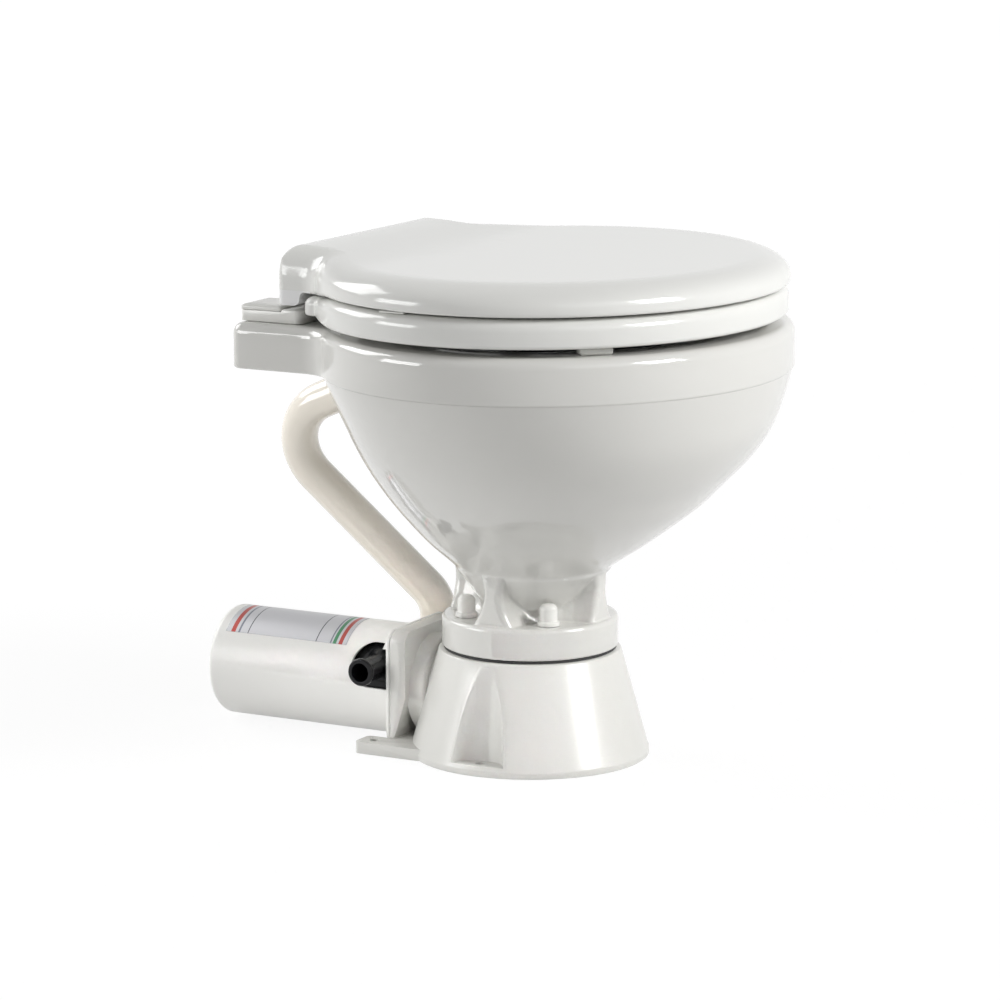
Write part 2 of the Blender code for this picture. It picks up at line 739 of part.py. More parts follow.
for sx in SIDES.values():
    cut(base, rod("z", (sx * RECESS_X, 0.0, 0.0), RECESS_R, RECESS_FLOOR, BASE_TOP + OVER, ROUND))
    cut(base, rod("z", (sx * SIDE_SCREW_X, 0.0, 0.0), SCREW_HOLE_R, -OVER, RECESS_FLOOR + OVER, TINY))
    cut(base, rod("z", (sx * LUG_HOLE_X, LUG_HOLE_Y, 0.0), SCREW_HOLE_R, -OVER, PLATE_T + OVER, TINY))
for bx, by in BOLTS.values():
    cut(base, rod("z", (bx, by, 0.0), BOLT_R + GAP, BOLT_HOLE_FLOOR, BASE_TOP + OVER, TINY))

gasket = make("bowl_gasket", washer("z", (0.0, 0.0, 0.0), COLLAR_R - GASKET_SET_BACK, SUMP_R + GASKET_BORE,
                                    BASE_TOP + GAP, COLLAR_Z0 - GAP, ROUND), RUBBER, 0.6)
for bx, by in BOLTS.values():
    cut(gasket, rod("z", (bx, by, 0.0), BOLT_HOLE_R, BASE_TOP - OVER, COLLAR_Z0 + OVER, TINY))


def funnel(height_share, a_share, b_share, centre_share, wall=0.0):
    """One oval section of the bowl between its lowest section and the band."""
    return oval((RIM_A - FUNNEL_INSET) * a_share - wall, (RIM_B - FUNNEL_INSET) * b_share - wall,
                RIM_YC * centre_share, FUNNEL_Z0 + (BAND_Z + LAP - FUNNEL_Z0) * height_share)


# Bowl: turned core, oval funnel, upright band with the hinge deck, fins and collar
low_a, low_b = RIM_A * FUNNEL_SHARES[0][1], RIM_B * FUNNEL_SHARES[0][2]
rings = [oval(CORE_R, CORE_R, 0.0, COLLAR_Z0 + COLLAR_EDGE)]
for height_share, radius_share in CORE_SHARES:
    z = COLLAR_Z1 + (FUNNEL_Z0 - COLLAR_Z1) * height_share
    rings.append(oval(CORE_R + (low_a - CORE_R) * radius_share, CORE_R + (low_b - CORE_R) * radius_share,
                      RIM_YC * FUNNEL_SHARES[0][3] * radius_share, z))
rings += [funnel(*row) for row in FUNNEL_SHARES]
bowl = make("bowl", loft(rings), GLAZE, 0.08)
rings = []
for height_share, thick_share, length_share in FIN_SHARES:
    z = COLLAR_Z1 + (FIN_TOP - COLLAR_Z1) * height_share
    half, reach = FIN_HALF * thick_share, FIN_R * length_share
    corners = [(reach, -half, FIN_CORNER), (reach, half, FIN_CORNER), (half, half, reach * FIN_HOLLOW_SHARE - half)]
    outline = []
    for _ in range(4):
        outline += corners
        corners = [(-v, u, radius) for u, v, radius in corners]
    rings.append([(x, y, z) for x, y in rounded(outline)])
join(bowl, loft(rings))
join(bowl, turned([(COLLAR_Z0, 0.0), (COLLAR_Z0, COLLAR_R - CHAMFER), (COLLAR_Z0 + CHAMFER, COLLAR_R),
                   (COLLAR_Z1 - COLLAR_EDGE, COLLAR_R), (COLLAR_Z1 - COLLAR_EDGE / 3, COLLAR_R - COLLAR_EDGE / 3),
                   (COLLAR_Z1, COLLAR_R - COLLAR_EDGE), (COLLAR_Z1, 0.0)], segs=WIDE))


def band(inset, z):
    return [(x, y, z) for x, y in tabbed_oval(RIM_A - inset, RIM_B - inset, RIM_YC, DECK_X - inset,
                                              DECK_Y1 - inset, DECK_BLEND, DECK_CORNER - inset)]


rings = [band(BAND_EDGE, BAND_Z), band(0.0, BAND_Z + BAND_EDGE)]
for k in range(4):
    angle = math.pi / 2 * k / 3
    rings.append(band(RIM_EDGE * (1 - math.cos(angle)), RIM_Z - RIM_EDGE + RIM_EDGE * math.sin(angle)))
join(bowl, loft(rings))
inner = [oval(OPEN_A + OPEN_EDGE + OVER, OPEN_B + OPEN_EDGE + OVER, OPEN_YC, RIM_Z + OVER),
         oval(OPEN_A + OPEN_EDGE, OPEN_B + OPEN_EDGE, OPEN_YC, RIM_Z),
         oval(OPEN_A + OPEN_EDGE / 4, OPEN_B + OPEN_EDGE / 4, OPEN_YC, RIM_Z - OPEN_EDGE / 3),
         oval(OPEN_A, OPEN_B, OPEN_YC, RIM_Z - OPEN_EDGE),
         oval(OPEN_A, OPEN_B, OPEN_YC, RIM_Z - LIP_H),
         oval(OPEN_A + LIP_BACK, OPEN_B + LIP_BACK, OPEN_YC, RIM_Z - LIP_H - LIP_UNDER)]
inner += [funnel(*row, WALL) for row in FUNNEL_SHARES[-2:0:-1]]
for height_share, radius_share in THROAT_SHARES:
    z = COLLAR_Z1 + (FUNNEL_Z0 - COLLAR_Z1) * height_share
    radius = THROAT_R + (low_b - WALL - THROAT_R) * radius_share
    inner.append(oval(radius, radius, 0.0, z))
inner.append(oval(THROAT_R, THROAT_R, 0.0, COLLAR_Z0 - OVER))
cut(bowl, loft(inner))
for bx, by in BOLTS.values():
    cut(bowl, rod("z", (bx, by, 0.0), BOLT_HOLE_R, COLLAR_Z0 - OVER, COLLAR_Z1 + LAP, TINY))
for sx in SIDES.values():
    cut(bowl, prism(rectangle(*sorted((sx * POCKET_X0, sx * POCKET_X1)), POCKET_Y0, POCKET_Y1, POCKET_CORNER),
                    BAND_Z - OVER, POCKET_TOP))
    cut(bowl, rod("z", (sx * HINGE_BOLT_X, HINGE_BOLT_Y, 0.0), HINGE_BOLT_R + GAP, POCKET_TOP - OVER,
                  RIM_Z + OVER, TINY))
SPUD_DIR = Vector((0.0, math.cos(SPUD_TILT), -math.sin(SPUD_TILT)))
SPUD_AT = Vector((0.0, SPUD_Y, SPUD_Z))


def along_spud(profile, segs=SMALL, ring=True):
    """Turn a profile about the spud's sloping axis."""
    bm = turned(profile, "y", (0.0, 0.0, 0.0), segs, ring)
    bmesh.ops.transform(bm, matrix=Matrix.Translation(SPUD_AT) @ Matrix.Rotation(-SPUD_TILT, 4, "X"),
                        verts=bm.verts)
    return bm


cut(bowl, along_spud([(-SPUD_IN - OVER, 0.0), (-SPUD_IN - OVER, SPUD_R + GAP), (OVER, SPUD_R + GAP), (OVER, 0.0)],
                     ring=False))
cut(bowl, along_spud([(-SPOT_FACE, 0.0), (-SPOT_FACE, SPOT_FACE_R), (SPOT_FACE, SPOT_FACE_R), (SPOT_FACE, 0.0)],
                     MID, ring=False))

# Bolts that hold the bowl on the base, each under a domed cap
for place, (bx, by) in BOLTS.items():
    seat_z = COLLAR_Z1 + GAP
    head = seat_z + BOLT_WASHER_T
    bolt = make(f"bowl_bolt_{place}", turned([
        (BOLT_END, 0.0), (BOLT_END, BOLT_R), (seat_z, BOLT_R), (seat_z, BOLT_WASHER_R), (head, BOLT_WASHER_R),
        (head, 0.0)], "z", (bx, by, 0.0), TINY), STEEL, 0.3, 1.0)
    join(bolt, prism(polygon(BOLT_HEAD_R, bx, by), head - LAP, head + BOLT_HEAD_T))
    dome = CAP_TOP - CAP_R
    outside = [(0.0, CAP_FLANGE_R), (CAP_FLANGE_T - CHAMFER, CAP_FLANGE_R), (CAP_FLANGE_T, CAP_FLANGE_R - CHAMFER),
               (CAP_FLANGE_T, CAP_R), (dome, CAP_R)]
    outside += [(dome + CAP_R * math.sin(math.pi / 6 * k), CAP_R * math.cos(math.pi / 6 * k)) for k in (1, 2)]
    outside += [(CAP_TOP, 0.0), (CAP_TOP - CAP_WALL, 0.0), (dome, CAP_R - CAP_WALL), (0.0, CAP_R - CAP_WALL)]
    make(f"bolt_cap_{place}", turned([(seat_z + h, r) for h, r in outside], "z", (bx, by, 0.0), SMALL, ring=True),
         WHITE, 0.25)

# Seal plate between the flange and the rinse pump
seal_plate = make("seal_plate", prism(rectangle(-FLANGE_HALF, FLANGE_HALF, SEAL_Z0, FLANGE_TOP, FLANGE_CORNER, 4),
                                      SEAL_Y0, SEAL_Y0 + SEAL_T, "y"), WHITE, 0.35)
cut(seal_plate, rod("y", PUMP_AXIS, SEAL_HOLE_R, SEAL_Y0 + SEAL_WEB_T, COVER_Y0 + OVER, MID))
cut(seal_plate, rod("y", PUMP_AXIS, SHAFT_R + HOUSING_CLEAR, SEAL_Y0 - OVER, COVER_Y0 + OVER, SMALL))

# Motor cover with an open slot for each rinse port
cover = make("motor_cover", turned([
    (COVER_Y0, COVER_R), (COVER_Y1 - COVER_EDGE, COVER_R), (COVER_Y1 - COVER_EDGE / 3, COVER_R - COVER_EDGE / 3),
    (COVER_Y1, COVER_R - COVER_EDGE), (COVER_Y1, 0.0), (COVER_Y1 - COVER_WALL, 0.0),
    (COVER_Y1 - COVER_WALL, COVER_R - COVER_EDGE), (COVER_Y1 - COVER_EDGE, COVER_R - COVER_WALL),
    (COVER_Y0, COVER_R - COVER_WALL)], "y", PUMP_AXIS, WIDE, ring=True), WARM, 0.35)
for sx, z, radius, y, tab in ((-1, SLOT_Z, SLOT_R, SLOT_Y, SLOT_TAB), (1, AXIS_Z, FAR_SLOT_R, PORT_Y, 0.0)):
    outline = [(COVER_Y0 - OVER, z - radius)]
    outline += [(y + radius * math.sin(math.pi * k / 12), z - radius * math.cos(math.pi * k / 12)) for k in range(13)]
    if tab:
        outline += [(COVER_Y0 + tab, z + radius), (COVER_Y0 + tab, z + radius - tab)]
    outline.append((COVER_Y0 - OVER, z + radius - tab))
    cut(cover, prism(outline, *sorted((sx * SLOT_X0, sx * (COVER_R + OVER))), "x"))

# Rinse pump body with its inlet barb and the elbow for the flush hose
rinse = make("rinse_pump_body", turned([
    (COVER_Y0, RINSE_R), (RINSE_Y1, RINSE_R), (RINSE_Y1, SHAFT_BORE_R), (RINSE_Y1 - RINSE_BACK_T, SHAFT_BORE_R),
    (RINSE_Y1 - RINSE_BACK_T, RINSE_CHAMBER_R), (COVER_Y0, RINSE_CHAMBER_R)],
    "y", PUMP_AXIS, ROUND, ring=True), BLACK, 0.18)
INLET_AT = (0.0, PORT_Y, INLET_Z)
join(rinse, turned([(INLET_X, 0.0), (INLET_X, INLET_R - CHAMFER), (INLET_X + CHAMFER, INLET_R),
                    (INLET_X + INLET_LIP, INLET_R), (INLET_X + INLET_CONE, INLET_TUBE_R),
                    (INLET_ROOT_X, INLET_TUBE_R), (INLET_ROOT_X, 0.0)], "x", INLET_AT, MID))
turn_at = Vector((RINSE_ELBOW_X, PORT_Y, AXIS_Z))
route = bent_path([Vector((RINSE_R - OVER, PORT_Y, AXIS_Z)), turn_at,
                   Vector((RINSE_ELBOW_X, PORT_Y, RINSE_ELBOW_TOP))], [RINSE_BEND], RINSE_BEND / 3)
join(rinse, tube(route, [SPUD_R] * len(route)))
cut(rinse, rod("x", INLET_AT, INLET_BORE_R, INLET_X - OVER, INLET_BORE_X1, SMALL))
route = bent_path([Vector((-INLET_BORE_X1, PORT_Y, AXIS_Z)), turn_at,
                   Vector((RINSE_ELBOW_X, PORT_Y, RINSE_ELBOW_TOP + OVER))], [RINSE_BEND], RINSE_BEND / 3)
cut(rinse, tube(route, [SPUD_BORE_R] * len(route), segs=TINY))

# Motor inside the cover
make("motor_can", washer("y", PUMP_AXIS, CAN_R, CAN_R - CAN_WALL, CAN_Y0, CAN_Y1, MID), STEEL, 0.35, 1.0)
for end, start in (("front", BELL_Y0), ("rear", CAN_Y1 + GAP)):
    make(f"end_bell_{end}", washer("y", PUMP_AXIS, CAN_R, BEARING_R + GAP, start, start + BELL_T, MID),
         STEEL, 0.4, 1.0)
    make(f"bearing_{end}", washer("y", PUMP_AXIS, BEARING_R, SHAFT_BORE_R, start, start + BELL_T, SMALL),
         STEEL, 0.25, 1.0)
for name, start in (("magnet_upper", MAGNET_START), ("magnet_lower", MAGNET_START + math.pi)):
    sweep = math.pi - 2 * MAGNET_START
    outline = [(r * math.cos(start + sweep * k / 8), AXIS_Z + r * math.sin(start + sweep * k / 8))
               for r, order in ((CAN_R - CAN_WALL - GAP, range(9)), (MAGNET_R, range(8, -1, -1))) for k in order]
    make(name, prism(outline, MAGNET_Y0, MAGNET_Y1, "y"), (0.10, 0.10, 0.11), 0.6)
for side, sx in SIDES.items():
    x0, x1 = sorted((sx * (COMMUTATOR_R + BRUSH_CLEAR), sx * (CAN_R - CAN_WALL - BRUSH_CLEAR)))
    make(f"brush_{side}", box(x0, x1, BRUSH_Y0, BRUSH_Y1, AXIS_Z - BRUSH_HALF, AXIS_Z + BRUSH_HALF),
         (0.08, 0.08, 0.08), 0.6)

# Parts that turn together on the pump axis
shaft = make("rotor_shaft", turned([
    (SHAFT_Y0, 0.0), (SHAFT_Y0, SHAFT_R - FINE_CHAMFER), (SHAFT_Y0 + FINE_CHAMFER, SHAFT_R),
    (SHAFT_Y1 - FINE_CHAMFER, SHAFT_R), (SHAFT_Y1, SHAFT_R - FINE_CHAMFER), (SHAFT_Y1, 0.0)],
    "y", PUMP_AXIS, SMALL), STEEL, 0.2, 1.0, PUMP_AXIS)
armature = make("armature", washer("y", PUMP_AXIS, ARMATURE_R, SHAFT_BORE_R, ARMATURE_Y0, ARMATURE_Y1, MID),
                (0.35, 0.20, 0.12), 0.45, 0.6, PUMP_AXIS)
commutator = make("commutator", washer("y", PUMP_AXIS, COMMUTATOR_R, SHAFT_BORE_R, COMMUTATOR_Y0, COMMUTATOR_Y1,
                                       SMALL), (0.75, 0.38, 0.22), 0.3, 1.0, PUMP_AXIS)


def vaned(name, hub, tip, count, thick, start, end, disc, colour, rough, metal):
    """A hub with straight vanes on the pump axis, on a back disc where disc is its thickness."""
    obj = make(name, rod("y", PUMP_AXIS, hub, start, end, MID), colour, rough, metal, PUMP_AXIS)
    for k in range(count):
        vane = box(hub / 2, tip, start + LAP, end - LAP, -thick / 2, thick / 2)
        turn = Matrix.Translation(Vector(PUMP_AXIS)) @ Matrix.Rotation(2 * math.pi * k / count, 4, "Y")
        bmesh.ops.transform(vane, matrix=turn, verts=vane.verts)
        join(obj, vane)
    if disc:
        join(obj, rod("y", PUMP_AXIS, tip + LAP, end - disc, end + LAP / 2, MID))
    cut(obj, rod("y", PUMP_AXIS, SHAFT_BORE_R, start - OVER, end + OVER, SMALL))
    return obj


rotor = [shaft, armature, commutator,
         vaned("flexible_impeller", FLEX_HUB, RINSE_CHAMBER_R - FLEX_CLEAR, FLEX_COUNT, FLEX_VANE,
               FLEX_Y0, FLEX_Y1, 0.0, RUBBER, 0.5, 0.0),
         vaned("discharge_impeller", WASTE_HUB, WASTE_R, WASTE_COUNT, WASTE_VANE, WASTE_Y0, WASTE_Y1,
               WASTE_DISC, BLACK, 0.4, 0.0),
         vaned("macerator_blade", BLADE_HUB, BLADE_R, 2, BLADE_W, BLADE_Y0, BLADE_Y1, 0.0, STEEL, 0.25, 1.0)]
chopper = make("chopper_plate", washer("y", PUMP_AXIS, CHAMBER_R - GAP, SHAFT_R + CHOPPER_CLEAR, CHOPPER_Y0,
                                       CHOPPER_Y1, MID), STEEL, 0.3, 1.0)
for k in range(CHOPPER_COUNT):
    t = 2 * math.pi * k / CHOPPER_COUNT
    cut(chopper, rod("y", (CHOPPER_HOLES_AT * math.cos(t), 0.0, AXIS_Z + CHOPPER_HOLES_AT * math.sin(t)),
                     CHOPPER_HOLE_R, CHOPPER_Y0 - OVER, CHOPPER_Y1 + OVER, TINY))
make("seal_housing", washer("y", PUMP_AXIS, CHAMBER_R - GAP, SHAFT_R + HOUSING_CLEAR, HOUSING_Y0,
                            FLANGE_Y1 - GAP, MID), BLACK, 0.4)
make("shaft_seal", washer("y", PUMP_AXIS, SEAL_RING_R, SHAFT_BORE_R, SEAL_Y0 + SEAL_WEB_T + GAP,
                          SEAL_Y0 + SEAL_T - GAP, SMALL), RUBBER, 0.7)

# Discharge side
ring = make("outlet_clamp_ring", turned([
    (CLAMP_X0, CLAMP_R), (CLAMP_X1, CLAMP_R), (CLAMP_X1, CLAMP_LIP_R), (CLAMP_X1 - CLAMP_LIP_T, CLAMP_LIP_R),
    (CLAMP_X1 - CLAMP_LIP_T, OUTLET_R + GAP), (CLAMP_X0, OUTLET_R + GAP)], "x", OUT, MID, ring=True), WHITE, 0.35)
for k in range(CLAMP_GRIPS):
    t = 2 * math.pi * (k + 0.5) / CLAMP_GRIPS
    cut(ring, rod("x", (0.0, OUTLET_Y + GRIP_AT * math.cos(t), AXIS_Z + GRIP_AT * math.sin(t)), GRIP_R,
                  CLAMP_X0 - OVER, CLAMP_X1 + OVER, 8))
valve_x = OUTLET_X1 + GAP
make("joker_valve", turned([
    (valve_x, ELBOW_FLANGE_R), (valve_x + VALVE_FLANGE_T, ELBOW_FLANGE_R), (valve_x + VALVE_FLANGE_T, VALVE_BODY_R),
    (valve_x + VALVE_LENGTH, VALVE_TIP_R), (valve_x + VALVE_LENGTH, VALVE_TIP_BORE_R), (valve_x, VALVE_BORE_R)],
    "x", OUT, SMALL, ring=True), RUBBER, 0.75)
ELBOW_X0 = valve_x + VALVE_FLANGE_T + GAP
route = bent_path([Vector((ELBOW_X0, OUTLET_Y, AXIS_Z)), Vector((ELBOW_X, OUTLET_Y, AXIS_Z)),
                   Vector((ELBOW_X, ELBOW_Y1, AXIS_Z))], [ELBOW_BEND], ELBOW_BEND / 3)
radii = [ELBOW_R] * (len(route) - 1)
end = route.pop()
for k in range(BARB_COUNT):
    y = ELBOW_Y1 - BARB_PITCH * (BARB_COUNT - k)
    route += [Vector((ELBOW_X, y, AXIS_Z)), Vector((ELBOW_X, y + LAP, AXIS_Z))]
    radii += [ELBOW_R - ELBOW_BARB / 2, ELBOW_R + ELBOW_BARB]
route.append(end)
radii.append(ELBOW_R - ELBOW_BARB / 2)
elbow = make("discharge_elbow", tube(route, radii, ELBOW_BORE_R, 20), WHITE, 0.3, location=OUT)
join(elbow, washer("x", OUT, ELBOW_FLANGE_R, ELBOW_BORE_R + LAP, ELBOW_X0, ELBOW_X0 + ELBOW_FLANGE_T, 20))

# Spud through the rear wall of the bowl, with its nut
spud = make("bowl_spud", along_spud([
    (-SPUD_IN, 0.0), (-SPUD_IN, SPUD_R), (SPUD_OUT - CHAMFER, SPUD_R), (SPUD_OUT, SPUD_R - CHAMFER),
    (SPUD_OUT, SPUD_BORE_R), (NOZZLE_WALL - SPUD_IN, SPUD_BORE_R), (NOZZLE_WALL - SPUD_IN, 0.0)], ring=False),
    WHITE, 0.35)
cut(spud, rod("x", SPUD_AT - SPUD_DIR * (SPUD_IN - NOZZLE_AT), NOZZLE_R, -SPUD_R - OVER, SPUD_R + OVER, 8))
nut_at = GAP - SPOT_FACE
make("spud_nut", along_spud([(nut_at, NUT_R), (nut_at + NUT_T, NUT_R), (nut_at + NUT_T, SPUD_R + GAP),
                             (nut_at, SPUD_R + GAP)]), WHITE, 0.35)

# Flush hose: a formed hose held at both ends
low_corner = Vector((RINSE_ELBOW_X, PORT_Y, HOSE_LOW_Z))
route = fill_runs(bent_path([SPUD_AT + SPUD_DIR * HOSE_START, SPUD_AT + SPUD_DIR * HOSE_RUN, low_corner,
                             Vector((RINSE_ELBOW_X, PORT_Y, HOSE_END_Z))],
                            [HOSE_BEND_TOP, HOSE_BEND_LOW], HOSE_STEP), HOSE_STEP * 3)
make("flush_hose", tube(route, [HOSE_R] * len(route), HOSE_BORE_R), CREAM, 0.3, sharp=math.radians(50.0))


def clip(name, at, direction, towards):
    """A band clip with its screw housing on the side that faces towards."""
    outer = HOSE_R + GAP + CLIP_T
    obj = make(name, washer("z", (0.0, 0.0, 0.0), outer, HOSE_R + GAP, -CLIP_W / 2, CLIP_W / 2, MID), STEEL, 0.3, 1.0)
    join(obj, box(outer - SCREW_BOX_SINK, outer + SCREW_BOX, -SCREW_BOX_HALF, SCREW_BOX_HALF,
                  SCREW_BOX_SINK - CLIP_W / 2, CLIP_W / 2 - SCREW_BOX_SINK))
    side = (towards - direction * towards.dot(direction)).normalized()
    frame = Matrix((side, direction.cross(side), direction)).transposed().to_4x4()
    obj.data.transform(Matrix.Translation(at) @ frame)
    return obj


clip("hose_clip_upper", SPUD_AT + SPUD_DIR * (HOSE_START + CLIP_FROM_END), SPUD_DIR, Vector((0, 0, -1)))
clip("hose_clip_lower", Vector((RINSE_ELBOW_X, PORT_Y, HOSE_END_Z + CLIP_FROM_END)), Vector((0, 0, 1)),
     Vector((0, 1, 0)))

# Hinges: a block on each side of the deck, with its pin, bolt, wing nut and sliding cap
BLOCK_Z0 = RIM_Z + GAP
BLOCK_Z1 = BLOCK_Z0 + BLOCK_H
SHELF_Z = BLOCK_Z1 - BLOCK_SHELF
PIN_LINE = (0.0, PIN_Y, PIN_Z)
for side, sx in SIDES.items():
    x0, x1 = sorted((sx * BLOCK_X0, sx * BLOCK_X1))

    def block_outline(inset, y0, front):
        return rounded([(x0 + inset, y0 + inset, front), (x1 - inset, y0 + inset, front),
                        (x1 - inset, BLOCK_Y1 - inset, BLOCK_REAR_CORNER),
                        (x0 + inset, BLOCK_Y1 - inset, BLOCK_REAR_CORNER)], 3)
    block = make(f"hinge_block_{side}", loft([
        [(x, y, z) for x, y in block_outline(inset, BLOCK_Y0, BLOCK_FRONT_CORNER)]
        for inset, z in ((0.0, BLOCK_Z0), (0.0, BLOCK_Z1 - CHAMFER), (CHAMFER, BLOCK_Z1))]), WHITE, 0.3)
    cut(block, box(x0 - OVER, x1 + OVER, CAP_Y0, BLOCK_Y1 + OVER, SHELF_Z, BLOCK_Z1 + OVER))
    cut(block, rod("x", PIN_LINE, PIN_R + PIN_FIT, *sorted((sx * PIN_X0, sx * (PIN_X1 + GAP))), TINY))
    bolt_at = (sx * HINGE_BOLT_X, HINGE_BOLT_Y, 0.0)
    head_z = SHELF_Z - HINGE_HEAD_POCKET
    cut(block, rod("z", bolt_at, HINGE_BOLT_R + GAP, RIM_Z - OVER, BLOCK_Z1, TINY))
    cut(block, rod("z", bolt_at, HINGE_HEAD_POCKET_R, head_z, BLOCK_Z1 + OVER, SMALL))
    cap_z = SHELF_Z + GAP
    make(f"hinge_cap_{side}", loft([
        [(x, y, z) for x, y in block_outline(inset, CAP_Y0 + GAP, BLOCK_REAR_CORNER / 2)]
        for inset, z in ((0.0, cap_z), (0.0, cap_z + CAP_SIDE), (CAP_CROWN_IN / 3, cap_z + CAP_SIDE + CAP_CROWN * 2 / 3),
                         (CAP_CROWN_IN, cap_z + CAP_SIDE + CAP_CROWN))]), WHITE, 0.3,
        location=(sx * HINGE_BOLT_X, CAP_Y0, cap_z))
    make(f"hinge_pin_{side}", rod("x", PIN_LINE, PIN_R, *sorted((sx * PIN_X0, sx * PIN_X1)), TINY), STEEL, 0.25, 1.0)
    bolt = make(f"hinge_bolt_{side}", rod("z", bolt_at, HINGE_BOLT_R, BLOCK_Z0 - HINGE_BOLT_END, head_z + 2 * LAP, TINY),
                WHITE, 0.35)
    join(bolt, prism(polygon(HINGE_HEAD_R, *bolt_at[:2]), head_z + GAP, SHELF_Z - GAP))
    nut_z = POCKET_TOP - GAP
    wing = make(f"hinge_nut_{side}", rod("z", bolt_at, WING_HUB_R, nut_z - WING_HUB_T, nut_z, SMALL), WHITE, 0.35)
    join(wing, rounded_box(bolt_at[0] - WING_HALF, bolt_at[0] + WING_HALF, bolt_at[1] - WING_SPAN,
                           bolt_at[1] + WING_SPAN, nut_z - WING_HUB_T - WING_DROP, nut_z - WING_DROP, WING_EDGE))
    cut(wing, rod("z", bolt_at, HINGE_BOLT_R + GAP, nut_z - WING_HUB_T - OVER, nut_z + OVER, TINY))


def ear(x0, x1, root):
    """An arm from the root points (y, z) to a knuckle round the hinge pin."""
    arm = tool(prism(root + [(PIN_Y, PIN_Z - KNUCKLE_R), (PIN_Y, PIN_Z + KNUCKLE_R)], x0, x1, "x"))
    join(arm, rod("x", PIN_LINE, KNUCKLE_R, x0 - LAP / 8, x1 + LAP / 8, SMALL))
    return arm


# Seat: a ring whose outer line has squared rear corners beside the lid's skirt
def seat_outline(inset):
    return tabbed_oval(SEAT_A - inset, SEAT_B - inset, SEAT_YC, SEAT_SIDE - inset, SEAT_REAR - inset,
                       SEAT_BLEND, max(SEAT_CORNER - inset, CHAMFER), (14, 1, 1, 3, 2))


def seat_ring(inset, height, inner=None):
    """One ring of the seat; with inner it follows the opening, grown by that much."""
    out = []
    for x, y in seat_outline(inset):
        rear = ease(y, SEAT_DROP_Y0, SEAT_REAR - SEAT_EDGE)
        if inner is not None:
            t = math.atan2((y - SEAT_OPEN_YC) / SEAT_B, x / SEAT_A)
            x, y = (SEAT_OPEN_A + inner) * math.cos(t), SEAT_OPEN_YC + (SEAT_OPEN_B + inner) * math.sin(t)
            rear = 0.0
        low, high = SEAT_Z0 + SEAT_LIFT * rear, SEAT_Z0 + SEAT_T - SEAT_DROP * rear
        out.append((x, y, low + (high - low) * height / SEAT_T))
    return out


rings = [seat_ring(SEAT_EDGE_LOW, 0.0), seat_ring(SEAT_EDGE_LOW / 4, SEAT_EDGE_LOW / 3), seat_ring(0.0, SEAT_EDGE_LOW)]
for k in range(4):
    angle = math.pi / 2 * k / 3
    rings.append(seat_ring(SEAT_EDGE * (1 - math.cos(angle)), SEAT_T - SEAT_EDGE * (1 - math.sin(angle))))
for k in range(3):
    angle = math.pi / 2 * k / 2
    rings.append(seat_ring(0.0, SEAT_T - SEAT_INNER_EDGE * (1 - math.cos(angle)), SEAT_INNER_EDGE * (1 - math.sin(angle))))
rings += [seat_ring(0.0, SEAT_EDGE_LOW, 0.0), seat_ring(0.0, 0.0, SEAT_EDGE_LOW / 2)]
seat = make("seat", loft(rings, capped=False), WHITE, 0.12, location=PIN_LINE)
for sx in SIDES.values():
    x0, x1 = sorted((sx * SEAT_EAR_X0, sx * SEAT_EAR_X1))
    root = [(SEAT_REAR - EAR_SINK, SEAT_Z0 + EAR_HIGH), (SEAT_REAR - EAR_SINK, SEAT_Z0 + EAR_LOW)]
    join(seat, ear(x0, x1, root))
    cut(seat, rod("x", PIN_LINE, PIN_R + GAP, x0 - LAP, x1 + LAP, TINY))
on_seat = [seat]
for place, (x_share, y_share, turn) in PAD_SHARES.items():
    bm = rounded_box(-PAD_LENGTH / 2, PAD_LENGTH / 2, -PAD_WIDTH / 2, PAD_WIDTH / 2, RIM_Z + GAP, SEAT_Z0 - GAP, PAD_EDGE)
    at = Vector((x_share * SEAT_A, SEAT_YC + y_share * SEAT_B, 0.0))
    bmesh.ops.transform(bm, matrix=Matrix.Translation(at) @ Matrix.Rotation(math.radians(turn), 4, "Z"), verts=bm.verts)
    on_seat.append(make(f"seat_pad_{place}", bm, WHITE, 0.5, location=PIN_LINE))


# Lid: an oval shell that runs into a tab with a deep skirt at the hinge
def lid_outline(inset):
    tab_inset = inset * LID_TAB_ROUND / LID_ROUND
    return tabbed_oval(LID_A - inset, LID_B - inset, LID_YC, TAB_X - tab_inset, TAB_Y1 - tab_inset, TAB_BLEND,
                       max(TAB_CORNER - inset, CHAMFER), (13, 3, 1, 3, 2))


def lid_ring(inset, height, climb=0.0, drop=0.0, shrink=1.0):
    out = []
    for x, y in lid_outline(inset):
        x, y = x * shrink, LID_YC + (y - LID_YC) * shrink
        z = LID_Z0 + height + climb * LID_RISE * ease(y, LID_RISE_Y0, LID_RISE_Y1)
        out.append((x, y, z - drop * LID_DROP * ease(y, LID_DROP_Y0, LID_DROP_Y1)))
    return out


